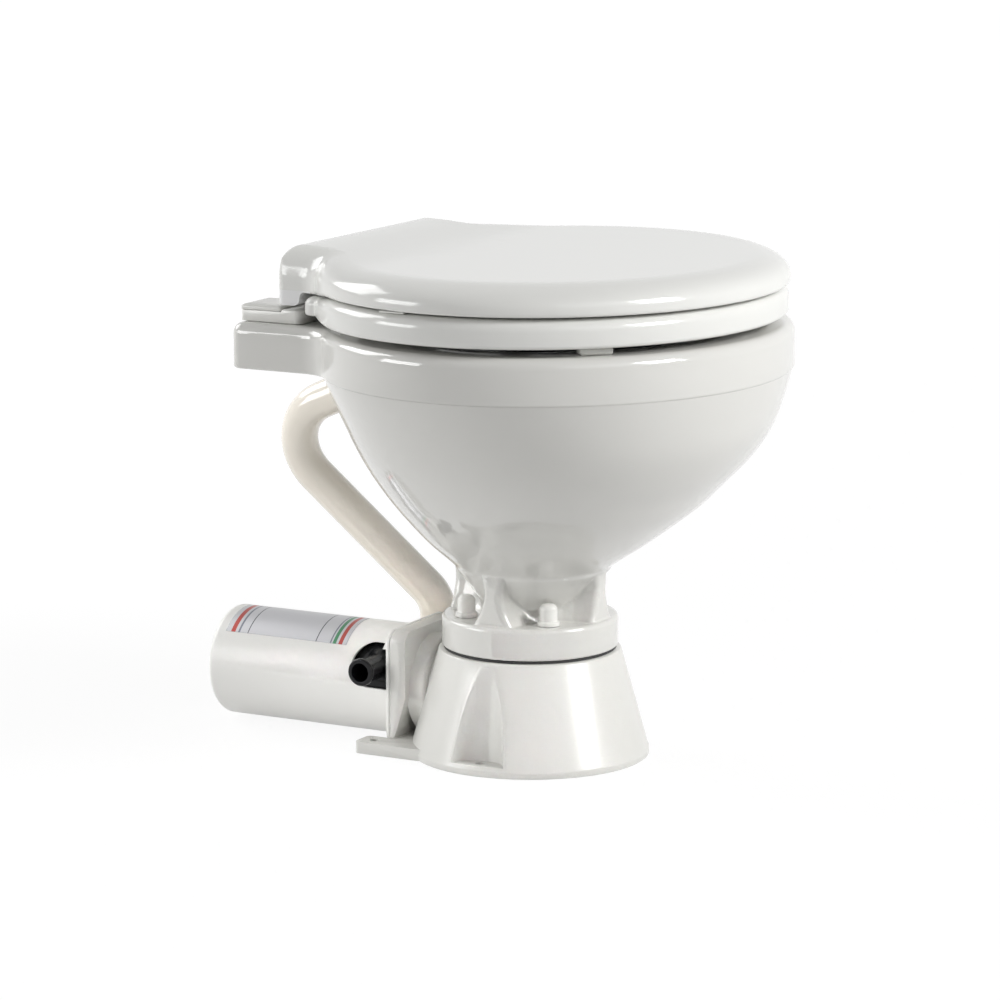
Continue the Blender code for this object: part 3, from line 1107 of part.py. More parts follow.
rings = [[(0.0, LID_YC, LID_Z0 + LID_CEILING)], lid_ring(LID_RIM_W + LID_CEILING_FILLET, LID_CEILING, shrink=0.5),
         lid_ring(LID_RIM_W + LID_CEILING_FILLET, LID_CEILING),
         lid_ring(LID_RIM_W, LID_CEILING - LID_CEILING_FILLET, drop=0.5),
         lid_ring(LID_RIM_W, 0.0, drop=1.0), lid_ring(LID_LOW_EDGE, 0.0, drop=1.0),
         lid_ring(0.0, LID_LOW_EDGE, drop=1.0)]
for k in range(6):
    angle = math.pi / 2 * k / 5
    rings.append(lid_ring(LID_ROUND * (1 - math.cos(angle)), LID_SIDE + (LID_T - LID_SIDE) * math.sin(angle),
                          climb=math.sin(angle)))
rings += [lid_ring(LID_ROUND, LID_T, climb=1.0, shrink=share) for share in LID_SHRINK_SHARES]
rings.append([(0.0, LID_YC, LID_Z0 + LID_T)])
lid = make("lid", loft(rings), WHITE, 0.12, location=PIN_LINE)
skirt_top = LID_Z0 + LID_CEILING + LAP
skirt = tool(loft([[(x, y, z) for x, y in lid_outline(inset)]
                   for inset, z in ((LAP / 2, SKIRT_Z0 - OVER), (LAP / 2, LID_Z0 + LID_SIDE),
                                    (LID_RIM_W / 2, skirt_top))]))
web_z = SKIRT_Z0 + SKIRT_WEB_Z
common(skirt, prism(rounded([
    (SKIRT_Y0 - SKIRT_WEB_Y, skirt_top + OVER, 0.0), (SKIRT_Y0 - SKIRT_WEB_Y, web_z, CHAMFER),
    (SKIRT_Y0, web_z, SKIRT_FILLET), (SKIRT_Y0, SKIRT_Z0, SKIRT_EDGE), (TAB_Y1, SKIRT_Z0, SKIRT_EDGE),
    (TAB_Y1 + LAP, skirt_top + OVER, 0.0)], 3), -TAB_X - OVER, TAB_X + OVER, "x"))
join(lid, skirt)
for sx in SIDES.values():
    x0, x1 = sorted((sx * LID_EAR_X0, sx * LID_EAR_X1))
    root = [(TAB_Y1 - EAR_SLACK, SKIRT_Z0 + EAR_SINK), (SKIRT_Y0 + SKIRT_EDGE, SKIRT_Z0 + EAR_SINK),
            (SKIRT_Y0 + SKIRT_EDGE, SKIRT_Z0 - EAR_SLACK)]
    join(lid, ear(x0, x1, root))
    cut(lid, rod("x", PIN_LINE, PIN_R + GAP, x0 - LAP, x1 + LAP, TINY))
on_lid = [lid]
for side, sx in SIDES.items():
    bm = rounded_box(sx * LID_PAD_X - LID_PAD_HALF_X, sx * LID_PAD_X + LID_PAD_HALF_X, LID_PAD_Y - LID_PAD_HALF_Y,
                     LID_PAD_Y + LID_PAD_HALF_Y, SEAT_Z0 + SEAT_T + GAP, LID_Z0 - GAP, LID_PAD_EDGE)
    on_lid.append(make(f"lid_pad_{side}", bm, WHITE, 0.5, location=PIN_LINE))


# Empties on the joint axes carry the moving pieces
def carrier(name, at, pieces, parent=None):
    empty = bpy.data.objects.new(name, None)
    empty.location = at
    bpy.context.scene.collection.objects.link(empty)
    for piece in pieces:
        piece.parent = empty
        piece.matrix_parent_inverse = Matrix.Translation(-Vector(at))
    if parent:
        empty.parent = parent
        empty.matrix_parent_inverse = Matrix.Translation(-Vector(parent.location))
    return empty


seat_axis = carrier("seat_axis", PIN_LINE, on_seat)
carrier("lid_axis", PIN_LINE, on_lid, seat_axis)
carrier("pump_axis", PUMP_AXIS, rotor)
carrier("outlet_axis", OUT, [elbow])
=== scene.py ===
"""Looks of the electric marine toilet: fine surfaces, materials, light and camera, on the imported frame."""
import math

import bmesh
import bpy
from mathutils import Matrix, Vector
from mathutils.bvhtree import BVHTree


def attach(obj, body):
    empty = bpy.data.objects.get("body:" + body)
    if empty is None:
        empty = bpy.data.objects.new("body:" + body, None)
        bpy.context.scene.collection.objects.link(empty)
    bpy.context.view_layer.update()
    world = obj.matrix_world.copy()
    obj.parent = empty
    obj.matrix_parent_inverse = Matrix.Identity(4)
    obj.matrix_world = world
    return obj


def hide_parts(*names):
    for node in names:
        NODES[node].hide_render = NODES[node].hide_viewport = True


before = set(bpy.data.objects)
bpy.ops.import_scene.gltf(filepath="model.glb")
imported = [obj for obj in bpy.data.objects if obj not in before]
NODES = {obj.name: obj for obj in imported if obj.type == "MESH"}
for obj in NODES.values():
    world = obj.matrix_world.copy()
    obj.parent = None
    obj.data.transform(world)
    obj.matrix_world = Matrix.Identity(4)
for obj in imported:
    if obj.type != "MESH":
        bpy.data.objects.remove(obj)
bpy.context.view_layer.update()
COLL = bpy.context.scene.collection
CENTRE = (0.0, 0.0, 0.0)
SIDES = {"left": -1, "right": 1}

# Shape helpers


def ease(value, start, end):
    """A soft step from 0 at start to 1 at end."""
    t = max(0.0, min(1.0, (value - start) / (end - start)))
    return t * t * (3 - 2 * t)


def quarter(steps):
    """Sine and cosine at even steps from 0 to 90 degrees."""
    turns = [math.pi / 2 * k / steps for k in range(steps + 1)]
    return [(math.sin(t), math.cos(t)) for t in turns]


def sided(sx, near, far):
    """The two ends of a stretch of x on the side with this sign, lowest first."""
    return sorted((sx * near, sx * far))


def curve(rows, count):
    """Smooth rows between given ones, count steps to each gap."""
    out = []
    for i in range(len(rows) - 1):
        p = [rows[max(i - 1, 0)], rows[i], rows[i + 1], rows[min(i + 2, len(rows) - 1)]]
        for k in range(count):
            t = k / count
            out.append([0.5 * (2 * b + (c - a) * t + (2 * a - 5 * b + 4 * c - d) * t * t
                               + (3 * b - a - 3 * c + d) * t ** 3) for a, b, c, d in zip(*p)])
    return out + [list(rows[-1])]


def bridge(bm, low, high):
    """Faces between two rings of points; a ring of one point closes to a tip."""
    count = max(len(low), len(high))
    if count == 1:
        return
    for i in range(count):
        j = (i + 1) % count
        if len(low) == 1:
            bm.faces.new((low[0], high[i], high[j]))
        elif len(high) == 1:
            bm.faces.new((low[i], low[j], high[0]))
        else:
            bm.faces.new((low[i], low[j], high[j], high[i]))


def turned(profile, axis="z", centre=CENTRE, segs=64, ring=False):
    """Turn a profile of (distance along the axis, radius) pairs; ring joins its last point to its first."""
    def place(along, angle, radius):
        u, v = radius * math.cos(angle), radius * math.sin(angle)
        offset = {"x": (along, u, v), "y": (v, along, u), "z": (u, v, along)}[axis]
        return [c + d for c, d in zip(centre, offset)]
    bm = bmesh.new()
    rows = []
    for along, radius in profile:
        steps = segs if radius > 0.0 else 1
        rows.append([bm.verts.new(place(along, 2 * math.pi * i / segs, radius)) for i in range(steps)])
    pairs = list(zip(rows, rows[1:]))
    if ring:
        pairs.append((rows[-1], rows[0]))
    for low, high in pairs:
        bridge(bm, low, high)
    return bm


def rod(axis, centre, radius, start, end, segs=48):
    return turned([(start, 0.0), (start, radius), (end, radius), (end, 0.0)], axis, centre, segs)


def upright(x, y, radius, start, end, segs):
    return rod("z", (x, y, 0.0), radius, start, end, segs)


def washer(axis, centre, outer, inner, start, end, edge=0.0003, segs=96):
    return turned([(start, outer - edge), (start + edge, outer), (end - edge, outer), (end, outer - edge),
                   (end, inner + edge), (end - edge, inner), (start + edge, inner), (start, inner + edge)],
                  axis, centre, segs, ring=True)


def box(x0, x1, y0, y1, z0, z1):
    bm = bmesh.new()
    bmesh.ops.create_cube(bm, size=2)
    for v in bm.verts:
        v.co = Vector([(low + high) / 2 + c * (high - low) / 2
                       for c, low, high in zip(v.co, (x0, y0, z0), (x1, y1, z1))])
    return bm


def soft_box(x0, x1, y0, y1, z0, z1, edge):
    bm = box(x0, x1, y0, y1, z0, z1)
    bmesh.ops.bevel(bm, geom=list(bm.edges), offset=edge, segments=3, profile=0.5, affect="EDGES")
    return bm


def loft(rings, capped=True):
    """A skin over rings of points, closed by caps or by joining the last ring to the first."""
    bm = bmesh.new()
    rows = [[bm.verts.new(p) for p in ring] for ring in rings]
    for low, high in zip(rows, rows[1:]):
        bridge(bm, low, high)
    if capped:
        for row in (rows[0], rows[-1]):
            if len(row) > 2:
                bm.faces.new(row)
    else:
        bridge(bm, rows[-1], rows[0])
    return bm


def prism(outline, low, high, axis="z"):
    order = {"x": lambda u, v, w: (w, u, v), "y": lambda u, v, w: (u, w, v), "z": lambda u, v, w: (u, v, w)}
    return loft([[order[axis](u, v, w) for u, v in outline] for w in (low, high)])


def rounded(corners, steps=8):
    """The outline through (u, v, radius) corners."""
    points = []
    for i, (u, v, radius) in enumerate(corners):
        here = Vector((u, v))
        if radius <= 0.0:
            points.append((u, v))
            continue
        before = (Vector(corners[i - 1][:2]) - here).normalized()
        after = (Vector(corners[(i + 1) % len(corners)][:2]) - here).normalized()
        half = math.acos(max(-1.0, min(1.0, before.dot(after)))) / 2
        centre = here + (before + after).normalized() * (radius / math.sin(half))
        start = here + before * (radius / math.tan(half)) - centre
        end = here + after * (radius / math.tan(half)) - centre
        turn = math.atan2(start.x * end.y - start.y * end.x, start.dot(end))
        for k in range(steps + 1):
            c, s = math.cos(turn * k / steps), math.sin(turn * k / steps)
            points.append((centre.x + start.x * c - start.y * s, centre.y + start.x * s + start.y * c))
    return points


def rectangle(x0, x1, y0, y1, radius, steps=6):
    return rounded([(x0, y0, radius), (x1, y0, radius), (x1, y1, radius), (x0, y1, radius)], steps)


def oval(a, b, yc, z, segs=144):
    turns = [2 * math.pi * i / segs for i in range(segs)]
    return [(a * math.cos(t), yc + b * math.sin(t), z) for t in turns]


def tabbed_oval(a, b, yc, side, rear, blend, corner, steps):
    """An oval that runs through a hollow blend into a squared tab of half width side, up to y = rear."""
    def normal(t):
        return Vector((math.cos(t) / a, math.sin(t) / b)).normalized()
    low, high = 0.0, math.pi / 2
    for _ in range(40):
        t = (low + high) / 2
        if a * math.cos(t) + blend * normal(t).x > side + blend:
            low = t
        else:
            high = t
    n = normal(t)
    cx, cy = side + blend, yc + b * math.sin(t) + blend * n.y
    facing = math.atan2(n.y, n.x)
    n_oval, n_blend, n_side, n_corner, n_rear = steps
    sweep = t + math.pi / 2
    half = [(a * math.sin(sweep * k / n_oval), yc - b * math.cos(sweep * k / n_oval))
            for k in range(n_oval + 1)]
    for k in range(1, n_blend + 1):
        angle = math.pi + facing * (1 - k / n_blend)
        half.append((cx + blend * math.cos(angle), cy + blend * math.sin(angle)))
    for k in range(1, n_side + 1):
        half.append((side, cy + (rear - corner - cy) * k / n_side))
    for k in range(1, n_corner + 1):
        angle = math.pi / 2 * k / n_corner
        half.append((side - corner + corner * math.cos(angle), rear - corner + corner * math.sin(angle)))
    for k in range(1, n_rear + 1):
        half.append(((side - corner) * (1 - k / n_rear), rear))
    return half + [(-x, y) for x, y in half[-2:0:-1]]


def bent(corners, radii, step):
    """A path through the corners, each rounded by its radius."""
    pts = [Vector(p) for p in corners]
    out = [pts[0]]
    for i in range(1, len(pts) - 1):
        before, after = (pts[i - 1] - pts[i]).normalized(), (pts[i + 1] - pts[i]).normalized()
        half, radius = before.angle(after) / 2, radii[i - 1]
        centre = pts[i] + (before + after).normalized() * (radius / math.sin(half))
        start = pts[i] + before * (radius / math.tan(half)) - centre
        end = pts[i] + after * (radius / math.tan(half)) - centre
        sweep = math.pi - 2 * half
        count = max(6, round(radius * sweep / step))
        out += [centre + Matrix.Rotation(sweep * k / count, 3, start.cross(end).normalized()) @ start
                for k in range(count + 1)]
    return out + [pts[-1]]


def tube(path, radii, bore=None, segs=64):
    """A round skin along a path, solid or with a bore."""
    frames, side = [], None
    for i, p in enumerate(path):
        ahead = (path[min(i + 1, len(path) - 1)] - path[max(i - 1, 0)]).normalized()
        side = ahead.orthogonal() if side is None else side
        side = (side - ahead * side.dot(ahead)).normalized()
        frames.append((p, side.copy(), ahead.cross(side)))

    def circle(at, radius):
        p, u, v = at
        return [p + radius * (u * math.cos(2 * math.pi * k / segs) + v * math.sin(2 * math.pi * k / segs))
                for k in range(segs)]
    outer = [circle(f, r) for f, r in zip(frames, radii)]
    if bore is None:
        return loft(outer)
    return loft(outer + [circle(f, bore) for f in reversed(frames)], capped=False)


# Object helpers


def smooth(obj, sharp=35.0):
    obj.data.shade_smooth()
    obj.data.set_sharp_from_angle(angle=math.radians(sharp))


def finish_mesh(bm, name):
    bmesh.ops.recalc_face_normals(bm, faces=bm.faces)
    mesh = bpy.data.meshes.new(name)
    bm.to_mesh(mesh)
    bm.free()
    return mesh


def solid(name, bm, material=None, sharp=35.0):
    obj = bpy.data.objects.new(name, finish_mesh(bm, name))
    COLL.objects.link(obj)
    if material:
        obj.data.materials.append(material)
    smooth(obj, sharp)
    return obj


def evaluated_mesh(obj):
    graph = bpy.context.evaluated_depsgraph_get()
    graph.update()
    return bpy.data.meshes.new_from_object(obj.evaluated_get(graph))


def apply_modifiers(obj):
    mesh = evaluated_mesh(obj)
    obj.modifiers.clear()
    obj.data = mesh


def combine(obj, bm, operation="UNION"):
    """Join, cut or intersect an object with another shape, and keep only its own materials."""
    other = bm if isinstance(bm, bpy.types.Object) else solid("tool", bm)
    mod = obj.modifiers.new("combine", "BOOLEAN")
    mod.operation = operation
    mod.solver = "EXACT"
    mod.object = other
    mesh = evaluated_mesh(obj)
    clean = bmesh.new()
    clean.from_mesh(mesh)
    bmesh.ops.remove_doubles(clean, verts=clean.verts, dist=0.000004)
    bmesh.ops.dissolve_degenerate(clean, edges=clean.edges, dist=0.000004)
    clean.to_mesh(mesh)
    clean.free()
    mats = list(obj.data.materials)
    obj.modifiers.clear()
    obj.data = mesh
    mesh.materials.clear()
    for mat in mats:
        mesh.materials.append(mat)
    for face in mesh.polygons:
        face.material_index = 0
    bpy.data.objects.remove(other, do_unlink=True)
    smooth(obj)
    return obj


def cut(obj, bm):
    return combine(obj, bm, "DIFFERENCE")


def join(main, *others):
    """Make one object of several, with their skins as they are."""
    pieces = [main, *others]
    with bpy.context.temp_override(active_object=main, selected_editable_objects=pieces, object=main):
        bpy.ops.object.join()
    return main


def edge_bevel(obj, width, segments=2, angle=32.0):
    mod = obj.modifiers.new("edges", "BEVEL")
    mod.width = width
    mod.segments = segments
    mod.limit_method = "ANGLE"
    mod.angle_limit = math.radians(angle)
    mod.use_clamp_overlap = True
    apply_modifiers(obj)
    smooth(obj, 50.0)
    return obj


def melt(obj, voxel, passes):
    """Fuse a solid into one skin of even faces with soft inner corners."""
    mod = obj.modifiers.new("remesh", "REMESH")
    mod.mode = "VOXEL"
    mod.voxel_size = voxel
    mod.use_smooth_shade = True
    mod = obj.modifiers.new("smooth", "SMOOTH")
    mod.factor = 0.5
    mod.iterations = passes
    apply_modifiers(obj)
    obj.data.shade_smooth()
    return obj


def snap(obj, exact, near, far, hold):
    """Put a melted skin back on the exact faces, except in the hollows that melting filled."""
    target = bmesh.new()
    target.from_mesh(exact)
    bmesh.ops.triangulate(target, faces=target.faces)
    tree = BVHTree.FromBMesh(target)
    target.free()
    for v in obj.data.vertices:
        spot, _, _, gap = tree.find_nearest(v.co)
        share = 1.0 if hold(v.co) else 1.0 - ease(gap, near, far)
        v.co = v.co.lerp(spot, share)
    obj.data.update()


def put(obj, body, slot, *nodes):
    """Let a piece ride on a body and hide the CAD nodes that it stands for; slot is not used."""
    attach(obj, body)
    if nodes:
        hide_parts(*nodes)
    return obj


# Materials


def material(name, colour, rough, metal=0.0, coat=0.0, coat_rough=0.03, ior=1.5, bump=None):
    """A gloss or metal finish; bump is the scale, strength and detail of a fine moulded grain."""
    mat = bpy.data.materials.new(name)
    mat.use_nodes = True
    shader = mat.node_tree.nodes["Principled BSDF"]
    shader.inputs["Base Color"].default_value = (*colour, 1.0)
    shader.inputs["Roughness"].default_value = rough
    shader.inputs["Metallic"].default_value = metal
    shader.inputs["IOR"].default_value = ior
    shader.inputs["Coat Weight"].default_value = coat
    shader.inputs["Coat Roughness"].default_value = coat_rough
    if bump:
        scale, strength, detail = bump
        nodes, links = mat.node_tree.nodes, mat.node_tree.links
        where = nodes.new("ShaderNodeTexCoord")
        noise = nodes.new("ShaderNodeTexNoise")
        noise.inputs["Scale"].default_value = scale
        noise.inputs["Detail"].default_value = detail
        bumps = nodes.new("ShaderNodeBump")
        bumps.inputs["Strength"].default_value = strength
        bumps.inputs["Distance"].default_value = 0.0003
        links.new(where.outputs["Object"], noise.inputs["Vector"])
        links.new(noise.outputs["Fac"], bumps.inputs["Height"])
        links.new(bumps.outputs["Normal"], shader.inputs["Normal"])
    return mat


CHINA = material("china_glaze", (0.645, 0.64, 0.612), 0.07, coat=0.3, coat_rough=0.02)
SEAT_MAT = material("seat_enamel", (0.72, 0.72, 0.695), 0.12)
BASE_MAT = material("base_moulding", (0.69, 0.685, 0.655), 0.26, bump=(900.0, 0.05, 2.0))
WHITE_MAT = material("white_moulding", (0.75, 0.745, 0.715), 0.25)
COVER_MAT = material("cover_moulding", (0.92, 0.915, 0.885), 0.38, bump=(1200.0, 0.06, 2.0))
BLACK_MAT = material("black_moulding", (0.005, 0.005, 0.006), 0.22, ior=1.35)
RUBBER_MAT = material("black_rubber", (0.018, 0.018, 0.018), 0.6)
HOSE_MAT = material("cream_vinyl", (0.95, 0.89, 0.79), 0.14, coat=0.5)
STEEL_MAT = material("bright_steel", (0.62, 0.62, 0.61), 0.26, 1.0)
MAGNET_MAT = material("dark_magnet", (0.06, 0.06, 0.065), 0.5)
CORE_MAT = material("armature_core", (0.33, 0.18, 0.10), 0.4, 0.7)
COPPER_MAT = material("copper", (0.75, 0.38, 0.22), 0.28, 1.0)
PAD_MAT = material("soft_pad", (0.76, 0.76, 0.73), 0.5)

# The first row that a CAD node's name starts with gives its material; the rest are white mouldings
FINISHES = (
    (("bowl_gasket", "flexible_impeller", "shaft_seal", "joker_valve"), RUBBER_MAT),
    (("bowl_bolt", "motor_can", "end_bell", "bearing", "hose_clip", "hinge_pin", "rotor_shaft", "macerator",
      "chopper"), STEEL_MAT),
    (("magnet", "brush"), MAGNET_MAT),
    (("armature",), CORE_MAT),
    (("commutator",), COPPER_MAT),
    (("discharge_impeller", "seal_housing", "rinse_pump_body"), BLACK_MAT),
    (("base", "seal_plate"), BASE_MAT),
    (("bowl_spud",), WHITE_MAT),
    (("bowl",), CHINA),
    (("seat_pad", "lid_pad"), PAD_MAT),
    (("seat", "lid"), SEAT_MAT),
    (("motor_cover",), COVER_MAT),
    (("flush_hose",), HOSE_MAT),
)
for node, obj in NODES.items():
    mat = next((finish for starts, finish in FINISHES if node.startswith(starts)), WHITE_MAT)
    for slot in obj.material_slots:
        slot.material = mat

# Sizes in metres that several fine pieces share, as in the solids

CHAMFER = 0.0008
OVERRUN = 0.010                                     # how far a cut runs past the piece that it cuts
AXIS_Z = 0.0405                                     # height of the pump's axis
PUMP = (0.0, 0.0, AXIS_Z)                           # the pump's axis runs along y through here
OUT_Y = 0.0655
OUT = (0.0, OUT_Y, AXIS_Z)                          # the discharge's axis runs along x through here
COLLAR_Z0, COLLAR_Z1, COLLAR_R = 0.0762, 0.0977, 0.0604
BOLTS = {"front_left": (-0.033, -0.0315), "front_right": (0.033, -0.0315),
         "rear_left": (-0.033, 0.0315), "rear_right": (0.033, 0.0315)}
PIN_Y, PIN_Z = 0.156, 0.305                         # the hinge pins' axis
PIN = (0.0, PIN_Y, PIN_Z)
HINGE_X, HINGE_BOLT_Y, HINGE_BORE = 0.082, 0.144, 0.0033
RISER_X, RISER_Y = 0.056, 0.103                     # the rinse pump's upright outlet under the hose
COVER_Y0, COVER_R = 0.0908, 0.0386
FLANGE_X, FLANGE_TOP, FLANGE_CORNER = 0.041, 0.0825, 0.009

# China bowl

RIM_A, RIM_B, RIM_YC = 0.1779, 0.1548, -0.0216      # half axes and centre of the rim
RIM_TOP, RIM_EDGE, BAND_LOW, BAND_EDGE = 0.3000, 0.0075, 0.2688, 0.0020
DECK_X, DECK_Y, DECK_BLEND, DECK_CORNER = 0.110, 0.1712, 0.030, 0.0085
MOUTH_A, MOUTH_B, MOUTH_YC = 0.136, 0.113, -0.027   # the opening in the rim
MOUTH_EDGE, LIP_EDGE, LIP_LOW = 0.006, 0.004, 0.2745
FUNNEL_A, FUNNEL_B, FUNNEL_Z, FUNNEL_H = 0.1774, 0.1536, 0.1343, 0.1349
WALL, THROAT_R, NECK_R, NECK_H = 0.011, 0.024, 0.033, 0.0366
# Share of the funnel's height, of its two half axes and of the rim's offset
FUNNEL = ((0.000, 0.320, 0.367, 0.14), (0.107, 0.430, 0.486, 0.30), (0.214, 0.528, 0.589, 0.48),
          (0.320, 0.621, 0.682, 0.66), (0.427, 0.702, 0.758, 0.78), (0.532, 0.777, 0.828, 0.93),
          (0.637, 0.842, 0.884, 1.04), (0.740, 0.893, 0.926, 1.09), (0.870, 0.951, 0.964, 1.06),
          (1.000, 1.000, 1.000, 1.00))
# Share of the neck's height and of its widening, outside and inside
NECK_OUT = ((-0.35, 0.0), (0.00, 0.00), (0.15, 0.03), (0.30, 0.13), (0.50, 0.36), (0.70, 0.60), (0.86, 0.82))
NECK_IN = ((1.00, 1.00), (0.80, 0.62), (0.55, 0.25), (0.25, 0.0))

low_a, low_b = RIM_A * FUNNEL[0][1], RIM_B * FUNNEL[0][2]
outer_rows = [(COLLAR_Z1 + NECK_H * h, NECK_R + (low_a - NECK_R) * r, NECK_R + (low_b - NECK_R) * r,
               RIM_YC * FUNNEL[0][3] * r) for h, r in NECK_OUT]
outer_rows += [(FUNNEL_Z + FUNNEL_H * h, FUNNEL_A * a, FUNNEL_B * b, RIM_YC * c) for h, a, b, c in FUNNEL]
outer_rows = curve(outer_rows, 6)
inner_rows = [(FUNNEL_Z + FUNNEL_H * h, FUNNEL_A * a - WALL, FUNNEL_B * b - WALL, RIM_YC * c)
              for h, a, b, c in FUNNEL[-2:0:-1]]
for h, r in NECK_IN:
    radius = THROAT_R + (low_b - WALL - THROAT_R) * r
    inner_rows.append((COLLAR_Z1 + NECK_H * h, radius, radius, 0.0))
inner_rows = curve([(0.2680, MOUTH_A + WALL, MOUTH_B + WALL, MOUTH_YC)] + inner_rows, 4)
inner_rows.append((COLLAR_Z0, THROAT_R, THROAT_R, 0.0))


def rim_outline(inset):
    return tabbed_oval(RIM_A - inset, RIM_B - inset, RIM_YC, DECK_X - inset, DECK_Y - inset, DECK_BLEND,
                       DECK_CORNER - inset, (56, 16, 6, 10, 10))


# Every ring of the bowl keeps to these turns, so that the rim's points run straight down the funnel
RIM_TURN = [math.atan2((y - RIM_YC) / RIM_B, x / RIM_A) for x, y in rim_outline(0.0)]


def at_turns(a, b, yc, z):
    return [(a * math.cos(t), yc + b * math.sin(t), z) for t in RIM_TURN]


def band(inset, z):
    return [(x, y, z) for x, y in rim_outline(inset)]


SEAM_Z = 0.150          # the funnel's skin and the pedestal's lie over each other here


def seam_sink(past):
    """How far a skin draws in behind the other one, this far past the seam."""
    return 0.0006 * (max(0.0, past) / 0.007) ** 2


def china_rings():
    rings = []
    for z, a, b, yc in outer_rows:
        if z > 0.140:
            sink = seam_sink(SEAM_Z - z)
            rings.append(at_turns(a - sink, b - sink, yc, z))
    rings += [band(BAND_EDGE * (1 - s), BAND_LOW + BAND_EDGE * (1 - c)) for s, c in quarter(4)]
    rings += [band(RIM_EDGE * (1 - c), RIM_TOP - RIM_EDGE * (1 - s)) for s, c in quarter(8)]
    for s, c in quarter(6):
        out = MOUTH_EDGE * (1 - s)
        rings.append(at_turns(MOUTH_A + out, MOUTH_B + out, MOUTH_YC, RIM_TOP - MOUTH_EDGE * (1 - c)))
    for s, c in quarter(6):
        out = LIP_EDGE * (1 - c)
        rings.append(at_turns(MOUTH_A + out, MOUTH_B + out, MOUTH_YC, LIP_LOW - LIP_EDGE * s))
    return rings + [at_turns(a, b, yc, z) for z, a, b, yc in inner_rows]


TILT = math.radians(23.0)
SPUD_AT, SPUD_DIR = Vector((0.0, 0.1287, 0.2469)), Vector((0.0, math.cos(TILT), -math.sin(TILT)))
SPUD_BORE, SPUD_FLAT_R, SPUD_FLAT_DEEP = 0.0098, 0.0185, 0.0062
POCKET_X0, POCKET_X1, POCKET_Y0, POCKET_Y1, POCKET_R, POCKET_TOP = 0.070, 0.100, 0.120, 0.1565, 0.005, 0.288


def along_spud(profile, segs=64, ring=True):
    """Turn a profile about the spud's sloping axis."""
    bm = turned(profile, "y", CENTRE, segs, ring)
    slope = Matrix.Translation(SPUD_AT) @ Matrix.Rotation(-TILT, 4, "X")
    bmesh.ops.transform(bm, matrix=slope, verts=bm.verts)
    return bm


bowl = solid("china_bowl", loft(china_rings(), capped=False), CHINA, 40.0)
# Pockets under the deck for the hinge nuts, with the bolt holes over them
for sx in SIDES.values():
    outline = rectangle(*sided(sx, POCKET_X0, POCKET_X1), POCKET_Y0, POCKET_Y1, POCKET_R)
    cut(bowl, prism(outline, BAND_LOW - OVERRUN, POCKET_TOP))
    cut(bowl, upright(sx * HINGE_X, HINGE_BOLT_Y, HINGE_BORE, POCKET_TOP - OVERRUN, RIM_TOP + OVERRUN, 32))
# The spud's hole and the flat that its nut seats on
cut(bowl, along_spud([(-0.034, 0.0), (-0.034, SPUD_BORE), (OVERRUN, SPUD_BORE), (OVERRUN, 0.0)], 48, False))
cut(bowl, along_spud([(-SPUD_FLAT_DEEP, 0.0), (-SPUD_FLAT_DEEP, SPUD_FLAT_R), (SPUD_FLAT_DEEP, SPUD_FLAT_R),
                      (SPUD_FLAT_DEEP, 0.0)], 64, False))
smooth(bowl, 40.0)
# The tall faces from the throat's foot up to the funnel's foot only closed the solid for its cuts
shell = bmesh.new()
shell.from_mesh(bowl.data)
tall = [f for f in shell.faces if max(v.co.z for v in f.verts) - min(v.co.z for v in f.verts) > 0.055]
bmesh.ops.delete(shell, geom=tall, context="FACES")
shell.to_mesh(bowl.data)
shell.free()

# Pedestal: four flared fins between the funnel and the collar, with scooped corners
FIN_HALF, FIN_REACH, FIN_EDGE, FIN_TOP = 0.0066, 0.0558, 0.0045, 0.0393
# Share of the fins' height, of their thickness and of their reach
FINS = [(-0.10, 2.40, 1.00), (0.03, 2.15, 1.00), (0.14, 1.75, 1.00), (0.30, 1.35, 1.00), (0.50, 1.05, 1.00),
        (0.70, 1.15, 1.00), (0.85, 1.50, 0.97), (1.00, 2.20, 0.82)]
core = solid("pedestal", loft([oval(a, b, yc, z) for z, a, b, yc in outer_rows if z < 0.166]), CHINA)
rings = []
for h, thick, share in curve(FINS, 4):
    half, reach = FIN_HALF * thick, FIN_REACH * share
    corners = [(reach, -half, FIN_EDGE), (reach, half, FIN_EDGE), (half, half, reach * 0.83 - half)]
    outline = []
    for _ in range(4):
        outline += corners
        corners = [(-v, u, radius) for u, v, radius in corners]
    rings.append([(x, y, COLLAR_Z1 + FIN_TOP * h) for x, y in rounded(outline, 8)])
combine(core, loft(rings))
COLLAR_EDGE = 0.003
collar = [(COLLAR_Z0, 0.0), (COLLAR_Z0, COLLAR_R - CHAMFER), (COLLAR_Z0 + CHAMFER, COLLAR_R)]
collar += [(COLLAR_Z1 - COLLAR_EDGE * (1 - s), COLLAR_R - COLLAR_EDGE + COLLAR_EDGE * c) for s, c in quarter(6)]
combine(core, turned(collar + [(COLLAR_Z1, 0.0)], segs=144))
cut(core, loft([oval(a + 0.0002, b + 0.0002, yc, z, 96) for z, a, b, yc in inner_rows if z < 0.176]
               + [oval(THROAT_R + 0.0002, THROAT_R + 0.0002, 0.0, 0.060, 96)]))
exact = core.data.copy()
melt(core, 0.0010, 14)
snap(core, exact, 0.0004, 0.0010,
     lambda p: p.z < COLLAR_Z1 - 0.004 or p.z > 0.148 or math.hypot(p.x, p.y) < THROAT_R + 0.004)
skin = bmesh.new()
skin.from_mesh(core.data)
for v in skin.verts:
    if v.co.z > SEAM_Z:
        v.co.xy -= v.co.xy.normalized() * seam_sink(v.co.z - SEAM_Z)
bmesh.ops.delete(skin, geom=[v for v in skin.verts if v.co.z > 0.160], context="VERTS")
skin.to_mesh(core.data)
skin.free()
core.data.shade_smooth()
put(join(bowl, core), "toilet", "china", "bowl")

